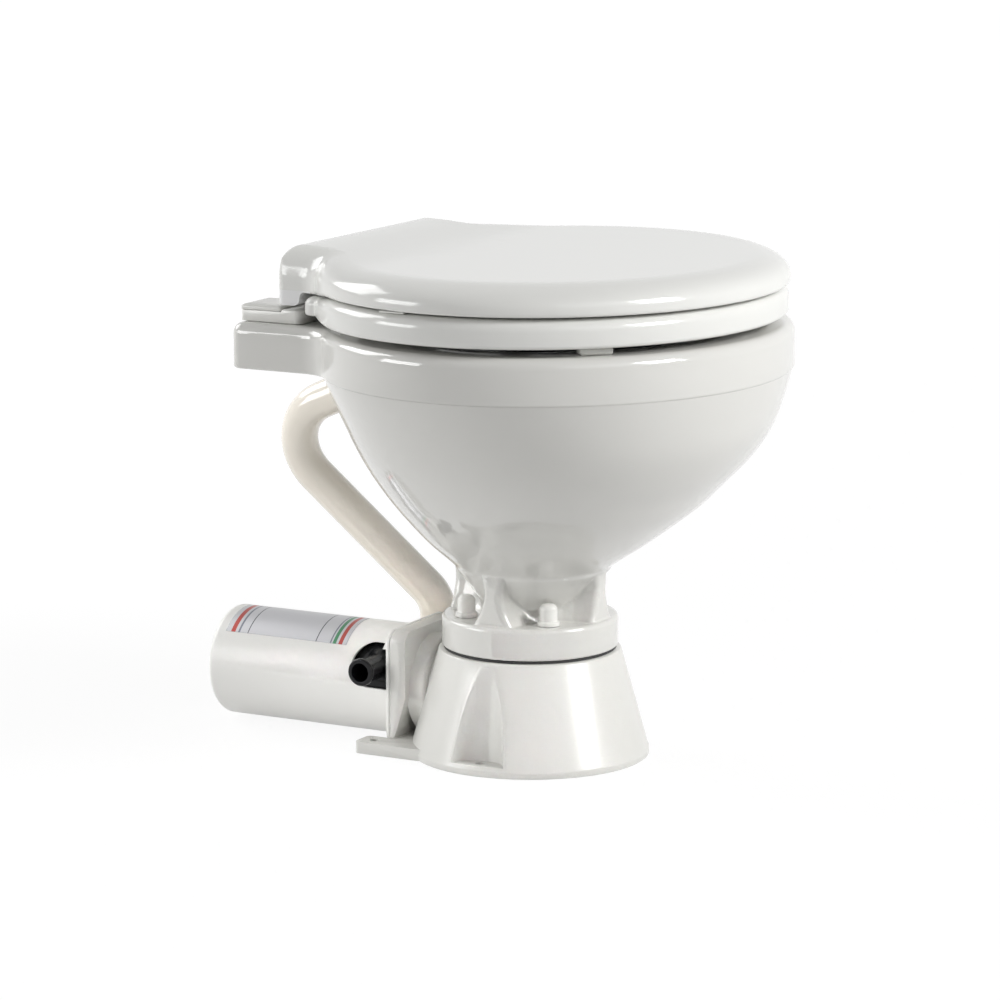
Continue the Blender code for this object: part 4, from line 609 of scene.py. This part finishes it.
# Seat and lid

SEAT_A, SEAT_B, SEAT_YC, SEAT_LOW, SEAT_T = 0.1774, 0.1541, -0.0174, 0.3055, 0.019
SEAT_X, SEAT_Y, SEAT_CORNER = 0.106, 0.1172, 0.008
HOLE_A, HOLE_B, HOLE_YC = 0.108, 0.100, -0.030
FOOT_ROUND, TOP_ROUND, HOLE_ROUND, HOLE_FOOT = 0.003, 0.008, 0.007, 0.002       # radii of the seat's edges
KNUCKLE_R, KNUCKLE_BORE, EAR_Y = 0.0043, 0.0023, 0.1092


def seat_ring(inset, height, inner=None):
    """One ring of the seat, outside or, with inner, round its opening; it thins towards the rear."""
    out = []
    for x, y in tabbed_oval(SEAT_A - inset, SEAT_B - inset, SEAT_YC, SEAT_X - inset, SEAT_Y - inset, 0.003,
                            max(SEAT_CORNER - inset, CHAMFER), (60, 3, 3, 8, 10)):
        rear = ease(y, 0.070, EAR_Y)
        if inner is not None:
            t = math.atan2((y - HOLE_YC) / SEAT_B, x / SEAT_A)
            x, y, rear = (HOLE_A + inner) * math.cos(t), (HOLE_B + inner) * math.sin(t) + HOLE_YC, 0.0
        low, high = SEAT_LOW + 0.0018 * rear, SEAT_LOW + SEAT_T - 0.0040 * rear
        out.append((x, y, low + (high - low) * height / SEAT_T))
    return out


def arm(x0, x1, root):
    """An ear from the root points to a knuckle round the hinge pin, with soft edges."""
    obj = solid("arm", prism(root + [(PIN_Y, PIN_Z - KNUCKLE_R), (PIN_Y, PIN_Z + KNUCKLE_R)], x0, x1, "x"))
    combine(obj, rod("x", PIN, KNUCKLE_R, x0 - 0.00005, x1 + 0.00005, 48))
    cut(obj, rod("x", PIN, KNUCKLE_BORE, x0 - 0.001, x1 + 0.001, 32))
    return edge_bevel(obj, 0.0004)


rings = [seat_ring(FOOT_ROUND * (1 - s), FOOT_ROUND * (1 - c)) for s, c in quarter(5)]
rings += [seat_ring(TOP_ROUND * (1 - c), SEAT_T - TOP_ROUND * (1 - s)) for s, c in quarter(12)]
rings += [seat_ring(0.0, SEAT_T - HOLE_ROUND * (1 - c), HOLE_ROUND * (1 - s)) for s, c in quarter(8)]
rings += [seat_ring(0.0, HOLE_FOOT * (1 - s), HOLE_FOOT * (1 - c)) for s, c in quarter(4)]
seat = solid("seat_ring_fine", loft(rings, capped=False), SEAT_MAT, 60.0)
ears = [arm(*sided(sx, 0.0385, 0.0480), [(EAR_Y, 0.3120), (EAR_Y, 0.3085)]) for sx in SIDES.values()]
put(join(seat, *ears), "seat_ring", "seat_plastic", "seat")

LID_A, LID_B, LID_YC, LID_LOW = 0.1765, 0.1550, -0.0180, 0.3261
LID_X, LID_Y, LID_CORNER = 0.099, 0.1405, 0.006
LID_T, LID_HOLLOW = 0.020, 0.014


def lid_line(inset):
    return tabbed_oval(LID_A - inset, LID_B - inset, LID_YC, LID_X - inset * 0.6, LID_Y - inset * 0.5, 0.022,
                       max(LID_CORNER - inset, CHAMFER), (52, 14, 4, 8, 10))


def lid_ring(inset, height, climb=0.0, drop=0.0, shrink=1.0):
    """One ring of the lid; climb lifts its top towards the hinge, drop lowers its edge there."""
    out = []
    for x, y in lid_line(inset):
        x, y = x * shrink, LID_YC + (y - LID_YC) * shrink
        z = LID_LOW + height + climb * 0.0061 * ease(y, 0.050, 0.125)
        out.append((x, y, z - drop * 0.0045 * ease(y, 0.078, 0.113)))
    return out


# From the middle of the underside outwards, round the edge and in over the top
rings = [[(0.0, LID_YC, LID_LOW + LID_HOLLOW)]]
rings += [lid_ring(0.016, LID_HOLLOW, shrink=s) for s in (0.25, 0.5, 0.75)]
rings += [lid_ring(0.012 + 0.004 * (1 - s), LID_HOLLOW - 0.004 * (1 - c), drop=0.5 * s)
          for s, c in quarter(5)]
rings.append(lid_ring(0.0120, 0.0, drop=1.0))
rings += [lid_ring(0.0022 * (1 - s), 0.0022 * (1 - c), drop=1.0) for s, c in quarter(4)]
rings += [lid_ring(0.025 * (1 - c), 0.0045 + 0.0155 * s, climb=s) for s, c in quarter(20)]
rings += [lid_ring(0.025, LID_T, climb=1.0, shrink=s)
          for s in (0.96, 0.92, 0.88, 0.84, 0.8, 0.75, 0.7, 0.6, 0.5, 0.35, 0.2)]
rings.append([(0.0, LID_YC, LID_LOW + LID_T)])
lid = solid("lid_fine", loft(rings), SEAT_MAT, 60.0)
skirt = solid("skirt", loft([[(x, y, z) for x, y in lid_line(i)]
                             for i, z in ((0.0002, 0.3026), (0.0002, 0.3306), (0.006, 0.3405))]))
side = [(0.1125, 0.3505, 0.0), (0.1125, 0.3221, CHAMFER), (0.1225, 0.3221, 0.004), (0.1225, 0.3126, 0.005),
        (LID_Y, 0.3126, 0.005), (0.1409, 0.3505, 0.0)]
combine(skirt, prism(rounded(side, 10), -LID_X - OVERRUN, LID_X + OVERRUN, "x"), "INTERSECT")
ears = [arm(*sided(sx, 0.0505, 0.0600), [(0.1395, 0.3206), (0.1275, 0.3206), (0.1275, 0.3116)])
        for sx in SIDES.values()]
smooth(skirt, 60.0)
put(join(lid, skirt, *ears), "lid_shell", "seat_plastic", "lid")

# Base: the same cuts and joins as the solid with fine circles, then a small broken edge all round

FOOT_R, BASE_TOP, BASE_TOP_R = 0.0820, 0.0740, 0.0622
LUG_X0, LUG_X1, LUG_Y, LUG_R, PLATE_Y0, PLATE_Y1, PLATE_H = 0.0425, 0.0625, 0.1036, 0.004, 0.030, 0.0872, 0.008
FLANGE_Y0, FLANGE_Y1, FLANGE_LOW = 0.0752, 0.0871, 0.004
SUMP_LOW, SUMP_R, PUMP_BORE, INTAKE_R, OUTLET_BORE = 0.012, 0.033, 0.027, 0.018, 0.011
RECESS_X, RECESS_Y, RECESS_R, RECESS_LOW, BEAD = 0.0855, -0.0018, 0.0208, 0.007, 0.0014
SCREW_R, RECESS_SCREW_X, LUG_SCREW_X, LUG_SCREW_Y = 0.003, 0.072, 0.0525, 0.0935
cone = [(0.0, 0.0), (0.0, FOOT_R - CHAMFER), (0.0003, FOOT_R - 0.0003), (0.0010, FOOT_R), (0.0040, FOOT_R),
        (0.0048, FOOT_R - 0.0002), (0.0056, FOOT_R - 0.0007), (0.0730, 0.06262), (0.0736, BASE_TOP_R),
        (BASE_TOP, BASE_TOP_R - 0.0007), (BASE_TOP, 0.0)]
base = solid("base_fine", turned(cone, segs=192), BASE_MAT)
lug = [(LUG_X1, PLATE_Y0, 0.0), (LUG_X1, LUG_Y, LUG_R), (LUG_X0, LUG_Y, LUG_R), (LUG_X0, PLATE_Y1, 0.0)]
combine(base, prism(rounded(lug + [(-x, y, radius) for x, y, radius in reversed(lug)], 6), 0.0, PLATE_H))
flange = solid("flange", prism(rounded([
    (-FLANGE_X, FLANGE_LOW, 0.0), (FLANGE_X, FLANGE_LOW, 0.0), (FLANGE_X, FLANGE_TOP, FLANGE_CORNER),
    (-FLANGE_X, FLANGE_TOP, FLANGE_CORNER)], 10), FLANGE_Y0, FLANGE_Y1, "y"))
# Below the pump the flange's inner face slopes away from the cone
cut(flange, prism([(0.0652, 0.0369), (FLANGE_Y0, 0.0365), (0.084, PLATE_H), (0.084, -0.002), (0.0652, -0.002)],
                  -FLANGE_X - OVERRUN, FLANGE_X + OVERRUN, "x"))
combine(base, flange)
combine(base, turned([(0.0636, 0.0), (0.0636, 0.0331), (0.0640, 0.0343), (0.0648, 0.0351), (0.0660, 0.0355),
                      (0.0772, 0.0355), (0.0772, 0.0)], "y", PUMP, 128))
combine(base, rod("y", PUMP, 0.031, 0.030, 0.064, 96))
cut(base, rod("x", OUT, 0.0215, 0.047, 0.092, 96))
combine(base, rod("x", OUT, 0.016, 0.020, 0.056, 64))
cut(base, turned([(SUMP_LOW, 0.0), (SUMP_LOW, 0.027), (0.0138, 0.0312), (0.018, SUMP_R),
                  (BASE_TOP + OVERRUN, SUMP_R), (BASE_TOP + OVERRUN, 0.0)], segs=96))
cut(base, rod("y", PUMP, INTAKE_R, 0.015, 0.0474, 64))
cut(base, rod("y", PUMP, PUMP_BORE, 0.047, FLANGE_Y1 + OVERRUN, 96))
cut(base, rod("x", OUT, OUTLET_BORE, 0.015, 0.066, 48))
for sx in SIDES.values():
    # A bead stands 0.8 mm out from the cone round each recess
    bead = solid("bead", turned([(0.0072, 0.0), (0.0072, 0.0817), (0.0715, 0.06388), (0.0715, 0.0)], segs=192))
    recess = (sx * RECESS_X, RECESS_Y)
    combine(bead, upright(*recess, RECESS_R + BEAD, RECESS_LOW, BASE_TOP + OVERRUN, 96), "INTERSECT")
    combine(base, bead)
    cut(base, upright(*recess, RECESS_R, RECESS_LOW, BASE_TOP + OVERRUN, 96))
    cut(base, upright(sx * RECESS_SCREW_X, 0.0, SCREW_R, -OVERRUN, RECESS_LOW + OVERRUN, 32))
    cut(base, upright(sx * LUG_SCREW_X, LUG_SCREW_Y, SCREW_R, -OVERRUN, PLATE_H + OVERRUN, 32))
for bx, by in BOLTS.values():
    cut(base, upright(bx, by, 0.0028, 0.045, BASE_TOP + OVERRUN, 24))
put(edge_bevel(base, 0.0005, 3, 30.0), "toilet", "base_plastic", "base")

gasket = solid("gasket_fine", washer("z", CENTRE, 0.0592, 0.0345, 0.0743, 0.0759, 0.0003, 160), RUBBER_MAT)
for bx, by in BOLTS.values():
    cut(gasket, upright(bx, by, 0.0032, 0.070, 0.080, 24))
put(gasket, "toilet", "rubber", "bowl_gasket")

# Bolt caps: a small flange and a domed top, from the outside of the flange to the hollow under it
CAP_LIP_R, CAP_R, CAP_BORE, CAP_SIDE, CAP_ROUND = 0.0076, 0.0061, 0.0051, 0.0106, 0.0042
outside = [(0.0, CAP_LIP_R), (0.0018, CAP_LIP_R), (0.0024, 0.0074), (0.0028, 0.0068), (0.0030, 0.0063),
           (0.0036, CAP_R)]
outside += [(CAP_SIDE + CAP_ROUND * s, CAP_R - CAP_ROUND + CAP_ROUND * c) for s, c in quarter(10)]
outside += [(0.0150, 0.0), (0.0138, 0.0), (0.0089, CAP_BORE), (0.0, CAP_BORE)]
outside = [(COLLAR_Z1 + 0.0003 + h, r) for h, r in outside]
for place, (bx, by) in BOLTS.items():
    dome = solid(f"bolt_dome_{place}", turned(outside, "z", (bx, by, 0.0), 48, ring=True), WHITE_MAT)
    put(dome, "toilet", "white_plastic", f"bolt_cap_{place}")

# Seal plate, motor cover with its two slots, and rinse pump body

plate = solid("seal_plate_fine", prism(rectangle(-FLANGE_X, FLANGE_X, 0.002, FLANGE_TOP, FLANGE_CORNER, 10),
                                       0.0875, 0.0905, "y"), COVER_MAT)
cut(plate, rod("y", PUMP, 0.009, 0.0883, 0.1005, 64))
cut(plate, rod("y", PUMP, 0.0048, 0.0775, 0.1005, 48))
put(edge_bevel(plate, 0.0004), "toilet", "base_plastic", "seal_plate")

COVER_Y1, COVER_WALL, COVER_ROUND = 0.2372, 0.0022, 0.005
ROUND_Y, ROUND_R = COVER_Y1 - COVER_ROUND, COVER_R - COVER_ROUND
WALL_Y, WALL_R = COVER_Y1 - COVER_WALL, COVER_R - COVER_WALL
profile = [(COVER_Y0, COVER_R - 0.0003), (COVER_Y0 + 0.0003, COVER_R), (ROUND_Y, COVER_R)]
profile += [(ROUND_Y + COVER_ROUND * s, ROUND_R + COVER_ROUND * c) for s, c in quarter(10)[1:-1]]
profile += [(COVER_Y1, ROUND_R), (COVER_Y1, 0.0), (WALL_Y, 0.0), (WALL_Y, ROUND_R), (0.2338, 0.0354),
            (ROUND_Y, WALL_R), (COVER_Y0, WALL_R)]
cover = solid("cover_fine", turned(profile, "y", PUMP, 192, ring=True), COVER_MAT)
# The slots open at the cover's rim; the one round the inlet keeps a small tab at its upper corner
SLOT_Y0, TAB_Y1 = COVER_Y0 - OVERRUN, 0.1000
for sx, z, radius, y, tab in ((-1, 0.0553, 0.0148, 0.1062, 0.0036), (1, AXIS_Z, 0.0125, RISER_Y, 0.0)):
    outline = [(SLOT_Y0, z - radius)]
    outline += [(y + radius * math.sin(math.pi * k / 36), z - radius * math.cos(math.pi * k / 36))
                for k in range(37)]
    if tab:
        outline += [(TAB_Y1, z + radius), (TAB_Y1, z + radius - tab)]
    outline.append((SLOT_Y0, z + radius - tab))
    cut(cover, prism(outline, *sided(sx, 0.012, COVER_R + OVERRUN), "x"))
smooth(cover, 30.0)
put(cover, "toilet", "cover_plastic", "motor_cover")

# Bare foil in the label's place: plain silver with ruled lines and straight stripes
SILVER, RED, GREEN = (0.43, 0.43, 0.445), (0.34, 0.07, 0.06), (0.07, 0.20, 0.11)
GREY, INK = (0.16, 0.17, 0.20), (0.08, 0.08, 0.09)
FOIL_Y0, FOIL_Y1, FOIL_FROM, FOIL_SWEEP = 0.129, 0.227, 42, 54
STRIPES = ((0.035, RED), (0.065, SILVER), (0.085, GREEN), (0.110, SILVER), (0.125, GREY), (0.135, SILVER),
           (0.245, INK), (0.251, SILVER), (0.812, INK), (0.818, SILVER), (0.880, GREY), (0.895, SILVER),
           (0.920, RED), (0.955, SILVER))
FOIL = material("bare_foil", SILVER, 0.32, 0.85)
nodes, links = FOIL.node_tree.nodes, FOIL.node_tree.links
where, split = nodes.new("ShaderNodeTexCoord"), nodes.new("ShaderNodeSeparateXYZ")
along, ramp = nodes.new("ShaderNodeMapRange"), nodes.new("ShaderNodeValToRGB")
along.inputs["From Min"].default_value, along.inputs["From Max"].default_value = FOIL_Y0, FOIL_Y1
ramp.color_ramp.interpolation = "CONSTANT"
ramp.color_ramp.elements.remove(ramp.color_ramp.elements[1])
ramp.color_ramp.elements[0].color = (*SILVER, 1.0)
for at, colour in STRIPES:
    ramp.color_ramp.elements.new(at).color = (*colour, 1.0)
links.new(where.outputs["Object"], split.inputs["Vector"])
links.new(split.outputs["Y"], along.inputs["Value"])
links.new(along.outputs["Result"], ramp.inputs["Fac"])
links.new(ramp.outputs["Color"], nodes["Principled BSDF"].inputs["Base Color"])
turns = [math.radians(FOIL_FROM + FOIL_SWEEP * k / 36) for k in range(37)]
outline = [(-r * math.cos(t), AXIS_Z + r * math.sin(t))
           for r, way in ((COVER_R + 0.0002, turns), (COVER_R + 0.00005, turns[::-1])) for t in way]
put(solid("cover_foil", prism(outline, FOIL_Y0, FOIL_Y1, "y"), FOIL), "toilet", "steel")

BODY_Y1, BODY_FLOOR, BODY_R, BODY_BORE, SHAFT_BORE = 0.1225, 0.118, 0.035, 0.0235, 0.0043
rinse = solid("rinse_fine", turned([
    (COVER_Y0, BODY_R), (BODY_Y1, BODY_R), (BODY_Y1, SHAFT_BORE), (BODY_FLOOR, SHAFT_BORE),
    (BODY_FLOOR, BODY_BORE), (COVER_Y0, BODY_BORE)], "y", PUMP, 128, ring=True), BLACK_MAT)
# The inlet's barb, from its tip to its root in the body
INLET, INLET_TIP, INLET_ROOT, INLET_R, INLET_BORE = (0.0, RISER_Y, 0.0548), -0.055, -0.027, 0.0087, 0.0066
combine(rinse, turned([
    (INLET_TIP, 0.0), (INLET_TIP, 0.0089), (-0.0547, 0.0093), (-0.0540, 0.0096), (-0.0524, 0.0096),
    (-0.0517, 0.0094), (-0.0450, INLET_R), (-0.0330, INLET_R), (-0.0300, 0.0094), (INLET_ROOT, 0.0115),
    (INLET_ROOT, 0.0)], "x", INLET, 64))
turning = (RISER_X, RISER_Y, AXIS_Z)
RISER_TOP, RISER_R, RISER_BORE, RISER_BEND = 0.069, 0.0095, 0.007, 0.0105
route = bent([(0.025, RISER_Y, AXIS_Z), turning, (RISER_X, RISER_Y, RISER_TOP)], [RISER_BEND], 0.0015)
combine(rinse, tube(route, [RISER_R] * len(route)))
cut(rinse, rod("x", INLET, INLET_BORE, INLET_TIP - OVERRUN, -0.012, 48))
route = bent([(0.012, RISER_Y, AXIS_Z), turning, (RISER_X, RISER_Y, RISER_TOP + OVERRUN)], [RISER_BEND], 0.0015)
cut(rinse, tube(route, [RISER_BORE] * len(route), segs=48))
put(edge_bevel(rinse, 0.0003), "toilet", "black_plastic", "rinse_pump_body")

# Spud nut, hose and clips

HOSE_R, HOSE_BORE = 0.013, 0.0098
nut = solid("nut_fine", along_spud([(-0.0059, 0.0162), (-0.0056, 0.0165), (0.0023, 0.0165), (0.0026, 0.0162),
                                    (0.0026, SPUD_BORE), (-0.0059, SPUD_BORE)]), WHITE_MAT)
put(nut, "toilet", "white_plastic", "spud_nut")
route = bent([SPUD_AT + SPUD_DIR * 0.0035, SPUD_AT + SPUD_DIR * 0.0888, (RISER_X, RISER_Y, 0.0864),
              (RISER_X, RISER_Y, 0.052)], [0.039, 0.030], 0.002)
line = [route[0]]
for p in route[1:]:
    count = max(1, round((p - line[-1]).length / 0.006))
    last = line[-1]
    line += [last.lerp(p, k / count) for k in range(1, count + 1)]
hose = solid("hose_fine", tube(line, [HOSE_R] * len(line), HOSE_BORE, 72), HOSE_MAT, 50.0)
put(edge_bevel(hose, 0.0006, 3, 50.0), "toilet", "hose_vinyl", "flush_hose")


def clip(name, node, at, direction, towards):
    """A band round the hose at a point, with its screw housing on the side that looks towards a direction."""
    strap = [(-0.0045, 0.0133), (-0.0045, 0.0142), (-0.0042, 0.0145), (0.0042, 0.0145), (0.0045, 0.0142),
             (0.0045, 0.0133)]
    obj = solid(name, turned(strap, "z", CENTRE, 64, ring=True), STEEL_MAT)
    combine(obj, soft_box(0.0139, 0.0205, -0.0065, 0.0065, -0.0039, 0.0039, 0.0012))
    cut(obj, box(0.0160, 0.0190, -0.0075, -0.0055, -0.0006, 0.0006))
    side = (towards - direction * towards.dot(direction)).normalized()
    turn = Matrix((side, direction.cross(side), direction)).transposed().to_4x4()
    obj.data.transform(Matrix.Translation(at) @ turn)
    put(obj, "toilet", "steel", node)


UP, BACK = Vector((0, 0, 1)), Vector((0, 1, 0))
clip("clip_upper_fine", "hose_clip_upper", SPUD_AT + SPUD_DIR * 0.0095, SPUD_DIR, -UP)
clip("clip_lower_fine", "hose_clip_lower", Vector((RISER_X, RISER_Y, 0.058)), UP, BACK)

# Discharge side

ring = solid("clamp_fine", turned([
    (0.048, 0.0201), (0.0484, 0.0205), (0.0634, 0.0205), (0.064, 0.0199), (0.064, 0.0142), (0.0638, 0.0140),
    (0.0625, 0.0140), (0.0625, 0.0163), (0.048, 0.0163)], "x", OUT, 128, ring=True), WHITE_MAT)
GRIPS, GRIP_AT = 8, 0.0222
for k in range(GRIPS):
    t = 2 * math.pi * (k + 0.5) / GRIPS
    at = (0.0, OUT_Y + GRIP_AT * math.cos(t), AXIS_Z + GRIP_AT * math.sin(t))
    cut(ring, rod("x", at, 0.0028, 0.038, 0.074, 32))
put(edge_bevel(ring, 0.0003), "toilet", "white_plastic", "outlet_clamp_ring")

ELBOW_X0, ELBOW_X1, ELBOW_END, ELBOW_R, ELBOW_BORE, ELBOW_BEND = 0.0582, 0.085, 0.112, 0.0126, 0.0104, 0.015
turning = (ELBOW_X1, OUT_Y, AXIS_Z)
route = bent([(ELBOW_X0, OUT_Y, AXIS_Z), turning, (ELBOW_X1, ELBOW_END, AXIS_Z)], [ELBOW_BEND], 0.0015)
end = route.pop()
radii = [ELBOW_R] * len(route)
# Three barbs, 5.5 mm apart, up to the elbow's end
for k in range(3):
    y = ELBOW_END - 0.0055 * (3 - k)
    for dy, r in ((0.0, 0.0120), (0.0003, 0.0136), (0.0008, 0.0138), (0.0014, 0.0136)):
        route.append(Vector((ELBOW_X1, y + dy, AXIS_Z)))
        radii.append(r)
route += [Vector((ELBOW_X1, ELBOW_END - 0.0005, AXIS_Z)), end]
radii += [0.0120, 0.0116]
elbow = solid("elbow_fine", tube(route, radii, ELBOW_BORE, 72), WHITE_MAT, 50.0)
combine(elbow, washer("x", OUT, 0.0152, 0.0108, ELBOW_X0, ELBOW_X0 + 0.0038, 0.0003, 72))
put(elbow, "elbow", "white_plastic", "discharge_elbow")

# Hinges

BLOCK_X0, BLOCK_X1, BLOCK_Y0, BLOCK_Y1, BLOCK_Z0, BLOCK_Z1 = 0.064, 0.100, 0.121, 0.168, 0.3003, 0.3094
LEDGE_Y, LEDGE_Z, HEAD_R, HEAD_Z = 0.136, 0.3078, 0.0068, 0.3042
NUT_R, NUT_Z0, NUT_Z1, WING_X, WING_Y, WING_DROP = 0.0075, 0.2777, 0.2877, 0.0016, 0.0108, 0.0035
CAP_Y0, CAP_Z, CAP_RISE = 0.1363, 0.3099, 0.0022


def block_line(x0, x1, y0, inset, front, rear, z):
    return [(x, y, z) for x, y in rounded([
        (x0 + inset, y0 + inset, front), (x1 - inset, y0 + inset, front),
        (x1 - inset, BLOCK_Y1 - inset, rear), (x0 + inset, BLOCK_Y1 - inset, rear)], 8)]


for side, sx in SIDES.items():
    x0, x1 = sided(sx, BLOCK_X0, BLOCK_X1)
    x = sx * HINGE_X
    rings = [block_line(x0, x1, BLOCK_Y0, i, 0.005, 0.003, z)
             for i, z in ((0.0, BLOCK_Z0), (0.0, 0.3086), (0.0002, 0.3091), (CHAMFER, BLOCK_Z1))]
    block = solid(f"block_{side}_fine", loft(rings), WHITE_MAT)
    # A ledge for the sliding cap, the pin's bore, and the bolt's hole with room for its head
    cut(block, box(x0 - OVERRUN, x1 + OVERRUN, LEDGE_Y, BLOCK_Y1 + OVERRUN, LEDGE_Z, BLOCK_Z1 + OVERRUN))
    cut(block, rod("x", PIN, 0.00215, *sided(sx, 0.0365, 0.0963), 32))
    cut(block, upright(x, HINGE_BOLT_Y, HINGE_BORE, RIM_TOP - OVERRUN, BLOCK_Z1, 32))
    cut(block, upright(x, HINGE_BOLT_Y, HEAD_R, HEAD_Z, BLOCK_Z1 + OVERRUN, 48))
    put(edge_bevel(block, 0.0004), "toilet", "white_plastic", f"hinge_block_{side}")
    rings = [block_line(x0, x1, CAP_Y0, i, 0.002, 0.002, z)
             for i, z in ((0.0002, 0.3081), (0.0, 0.3083), (0.0, CAP_Z))]
    rings += [block_line(x0, x1, CAP_Y0, 0.006 * (1 - c), 0.002, 0.002, CAP_Z + CAP_RISE * s)
              for s, c in quarter(6)[1:]]
    cap = solid(f"cap_{side}_fine", loft(rings), WHITE_MAT, 60.0)
    put(cap, f"cap_{side}", "white_plastic", f"hinge_cap_{side}")
    wing = solid(f"wing_{side}_fine", upright(x, HINGE_BOLT_Y, NUT_R, NUT_Z0, NUT_Z1, 48), WHITE_MAT)
    combine(wing, soft_box(x - WING_X, x + WING_X, HINGE_BOLT_Y - WING_Y, HINGE_BOLT_Y + WING_Y,
                           NUT_Z0 - WING_DROP, NUT_Z1 - WING_DROP, 0.001))
    cut(wing, upright(x, HINGE_BOLT_Y, HINGE_BORE, POCKET_TOP - 2 * OVERRUN, POCKET_TOP + OVERRUN, 32))
    put(edge_bevel(wing, 0.0003), "toilet", "white_plastic", f"hinge_nut_{side}")

# Camera, light and floor

cam = bpy.data.cameras.new("camera")
cam.lens = 156.08
cam.sensor_width = 36.0
cam.clip_start = 0.05
eye = bpy.data.objects.new("camera", cam)
eye.location = (-2.5630, -1.3575, 0.7197)
eye.rotation_euler = (math.radians(79.3716), 0.0, math.radians(-61.6851))
COLL.objects.link(eye)
scene = bpy.context.scene
scene.camera = eye
scene.view_settings.view_transform = "Standard"
VIEW_AZIMUTH = 208.3


def lamp(name, azimuth, elevation, distance, width, height, power, aim=(0.0, 0.0, 0.2)):
    """A soft box that faces aim; azimuth is measured from the photograph's view towards its right."""
    turn = math.radians(VIEW_AZIMUTH + azimuth)
    lift = math.radians(elevation)
    light = bpy.data.lights.new(name, "AREA")
    light.shape = "RECTANGLE"
    light.size, light.size_y = width, height
    light.energy = power
    obj = bpy.data.objects.new(name, light)
    aim = Vector(aim)
    obj.location = aim + distance * Vector((math.cos(turn) * math.cos(lift), math.sin(turn) * math.cos(lift),
                                            math.sin(lift)))
    obj.rotation_euler = (aim - obj.location).to_track_quat("-Z", "Y").to_euler()
    COLL.objects.link(obj)
    return obj


lamp("key_box", 65.0, 30.0, 2.4, 0.8, 0.8, 49.0)
lamp("right_box", 35.0, 32.0, 3.0, 2.0, 1.6, 10.0)
lamp("left_box", -75.0, 12.0, 2.6, 1.2, 0.9, 27.0)
lamp("rear_box", -120.0, 32.0, 2.6, 1.4, 1.2, 30.0)
# A narrow low beam for the light that a white table throws back on the foot and the motor
low = lamp("low_box", -12.0, 3.0, 3.6, 0.3, 0.12, 0.035, (0.0, 0.03, 0.065))
low.data.spread = math.radians(4.5)


def shown_rays(nodes, links):
    """1 for rays from the camera or mirrored or passed on by a piece, 0 for rays that light the scene."""
    path = nodes.new("ShaderNodeLightPath")
    seen = path.outputs["Is Camera Ray"]
    for kind in ("Is Glossy Ray", "Is Transmission Ray"):
        either = nodes.new("ShaderNodeMath")
        either.operation = "MAXIMUM"
        links.new(seen, either.inputs[0])
        links.new(path.outputs[kind], either.inputs[1])
        seen = either.outputs["Value"]
    return seen


# World: white where it is seen, dim as a light
world = bpy.data.worlds.new("studio")
scene.world = world
world.use_nodes = True
nodes, links = world.node_tree.nodes, world.node_tree.links
nodes.clear()
out = nodes.new("ShaderNodeOutputWorld")
pick = nodes.new("ShaderNodeMixShader")
links.new(shown_rays(nodes, links), pick.inputs["Fac"])
for place, strength in ((1, 0.06), (2, 1.0)):
    back = nodes.new("ShaderNodeBackground")
    back.inputs["Color"].default_value = (1.0, 1.0, 1.0, 1.0)
    back.inputs["Strength"].default_value = strength
    links.new(back.outputs["Background"], pick.inputs[place])
links.new(pick.outputs["Shader"], out.inputs["Surface"])

# Floor: pale with the object's shadow, lifted to white where it is seen
floor_bm = bmesh.new()
bmesh.ops.create_grid(floor_bm, x_segments=1, y_segments=1, size=60.0)
floor = bpy.data.objects.new("floor", finish_mesh(floor_bm, "floor"))
floor.location = (0.0, 0.0, -0.0003)
COLL.objects.link(floor)
floor_mat = bpy.data.materials.new("floor")
floor_mat.use_nodes = True
nodes, links = floor_mat.node_tree.nodes, floor_mat.node_tree.links
shader = nodes["Principled BSDF"]
shader.inputs["Base Color"].default_value = (0.76, 0.76, 0.76, 1.0)
shader.inputs["Roughness"].default_value = 0.9
shader.inputs["Specular IOR Level"].default_value = 0.0
where = nodes.new("ShaderNodeTexCoord")
reach = nodes.new("ShaderNodeVectorMath")
reach.operation = "LENGTH"
fade = nodes.new("ShaderNodeMapRange")
for socket, value in (("From Min", 0.35), ("From Max", 3.5), ("To Min", 1.06), ("To Max", 1.19)):
    fade.inputs[socket].default_value = value
glow = nodes.new("ShaderNodeEmission")
share = nodes.new("ShaderNodeMath")
share.operation = "MULTIPLY"
share.inputs[1].default_value = 0.86
mix = nodes.new("ShaderNodeMixShader")
links.new(where.outputs["Object"], reach.inputs[0])
links.new(reach.outputs["Value"], fade.inputs["Value"])
links.new(fade.outputs["Result"], glow.inputs["Strength"])
links.new(shown_rays(nodes, links), share.inputs[0])
links.new(share.outputs["Value"], mix.inputs["Fac"])
links.new(shader.outputs["BSDF"], mix.inputs[1])
links.new(glow.outputs["Emission"], mix.inputs[2])
links.new(mix.outputs["Shader"], nodes["Material Output"].inputs["Surface"])
floor.data.materials.append(floor_mat)
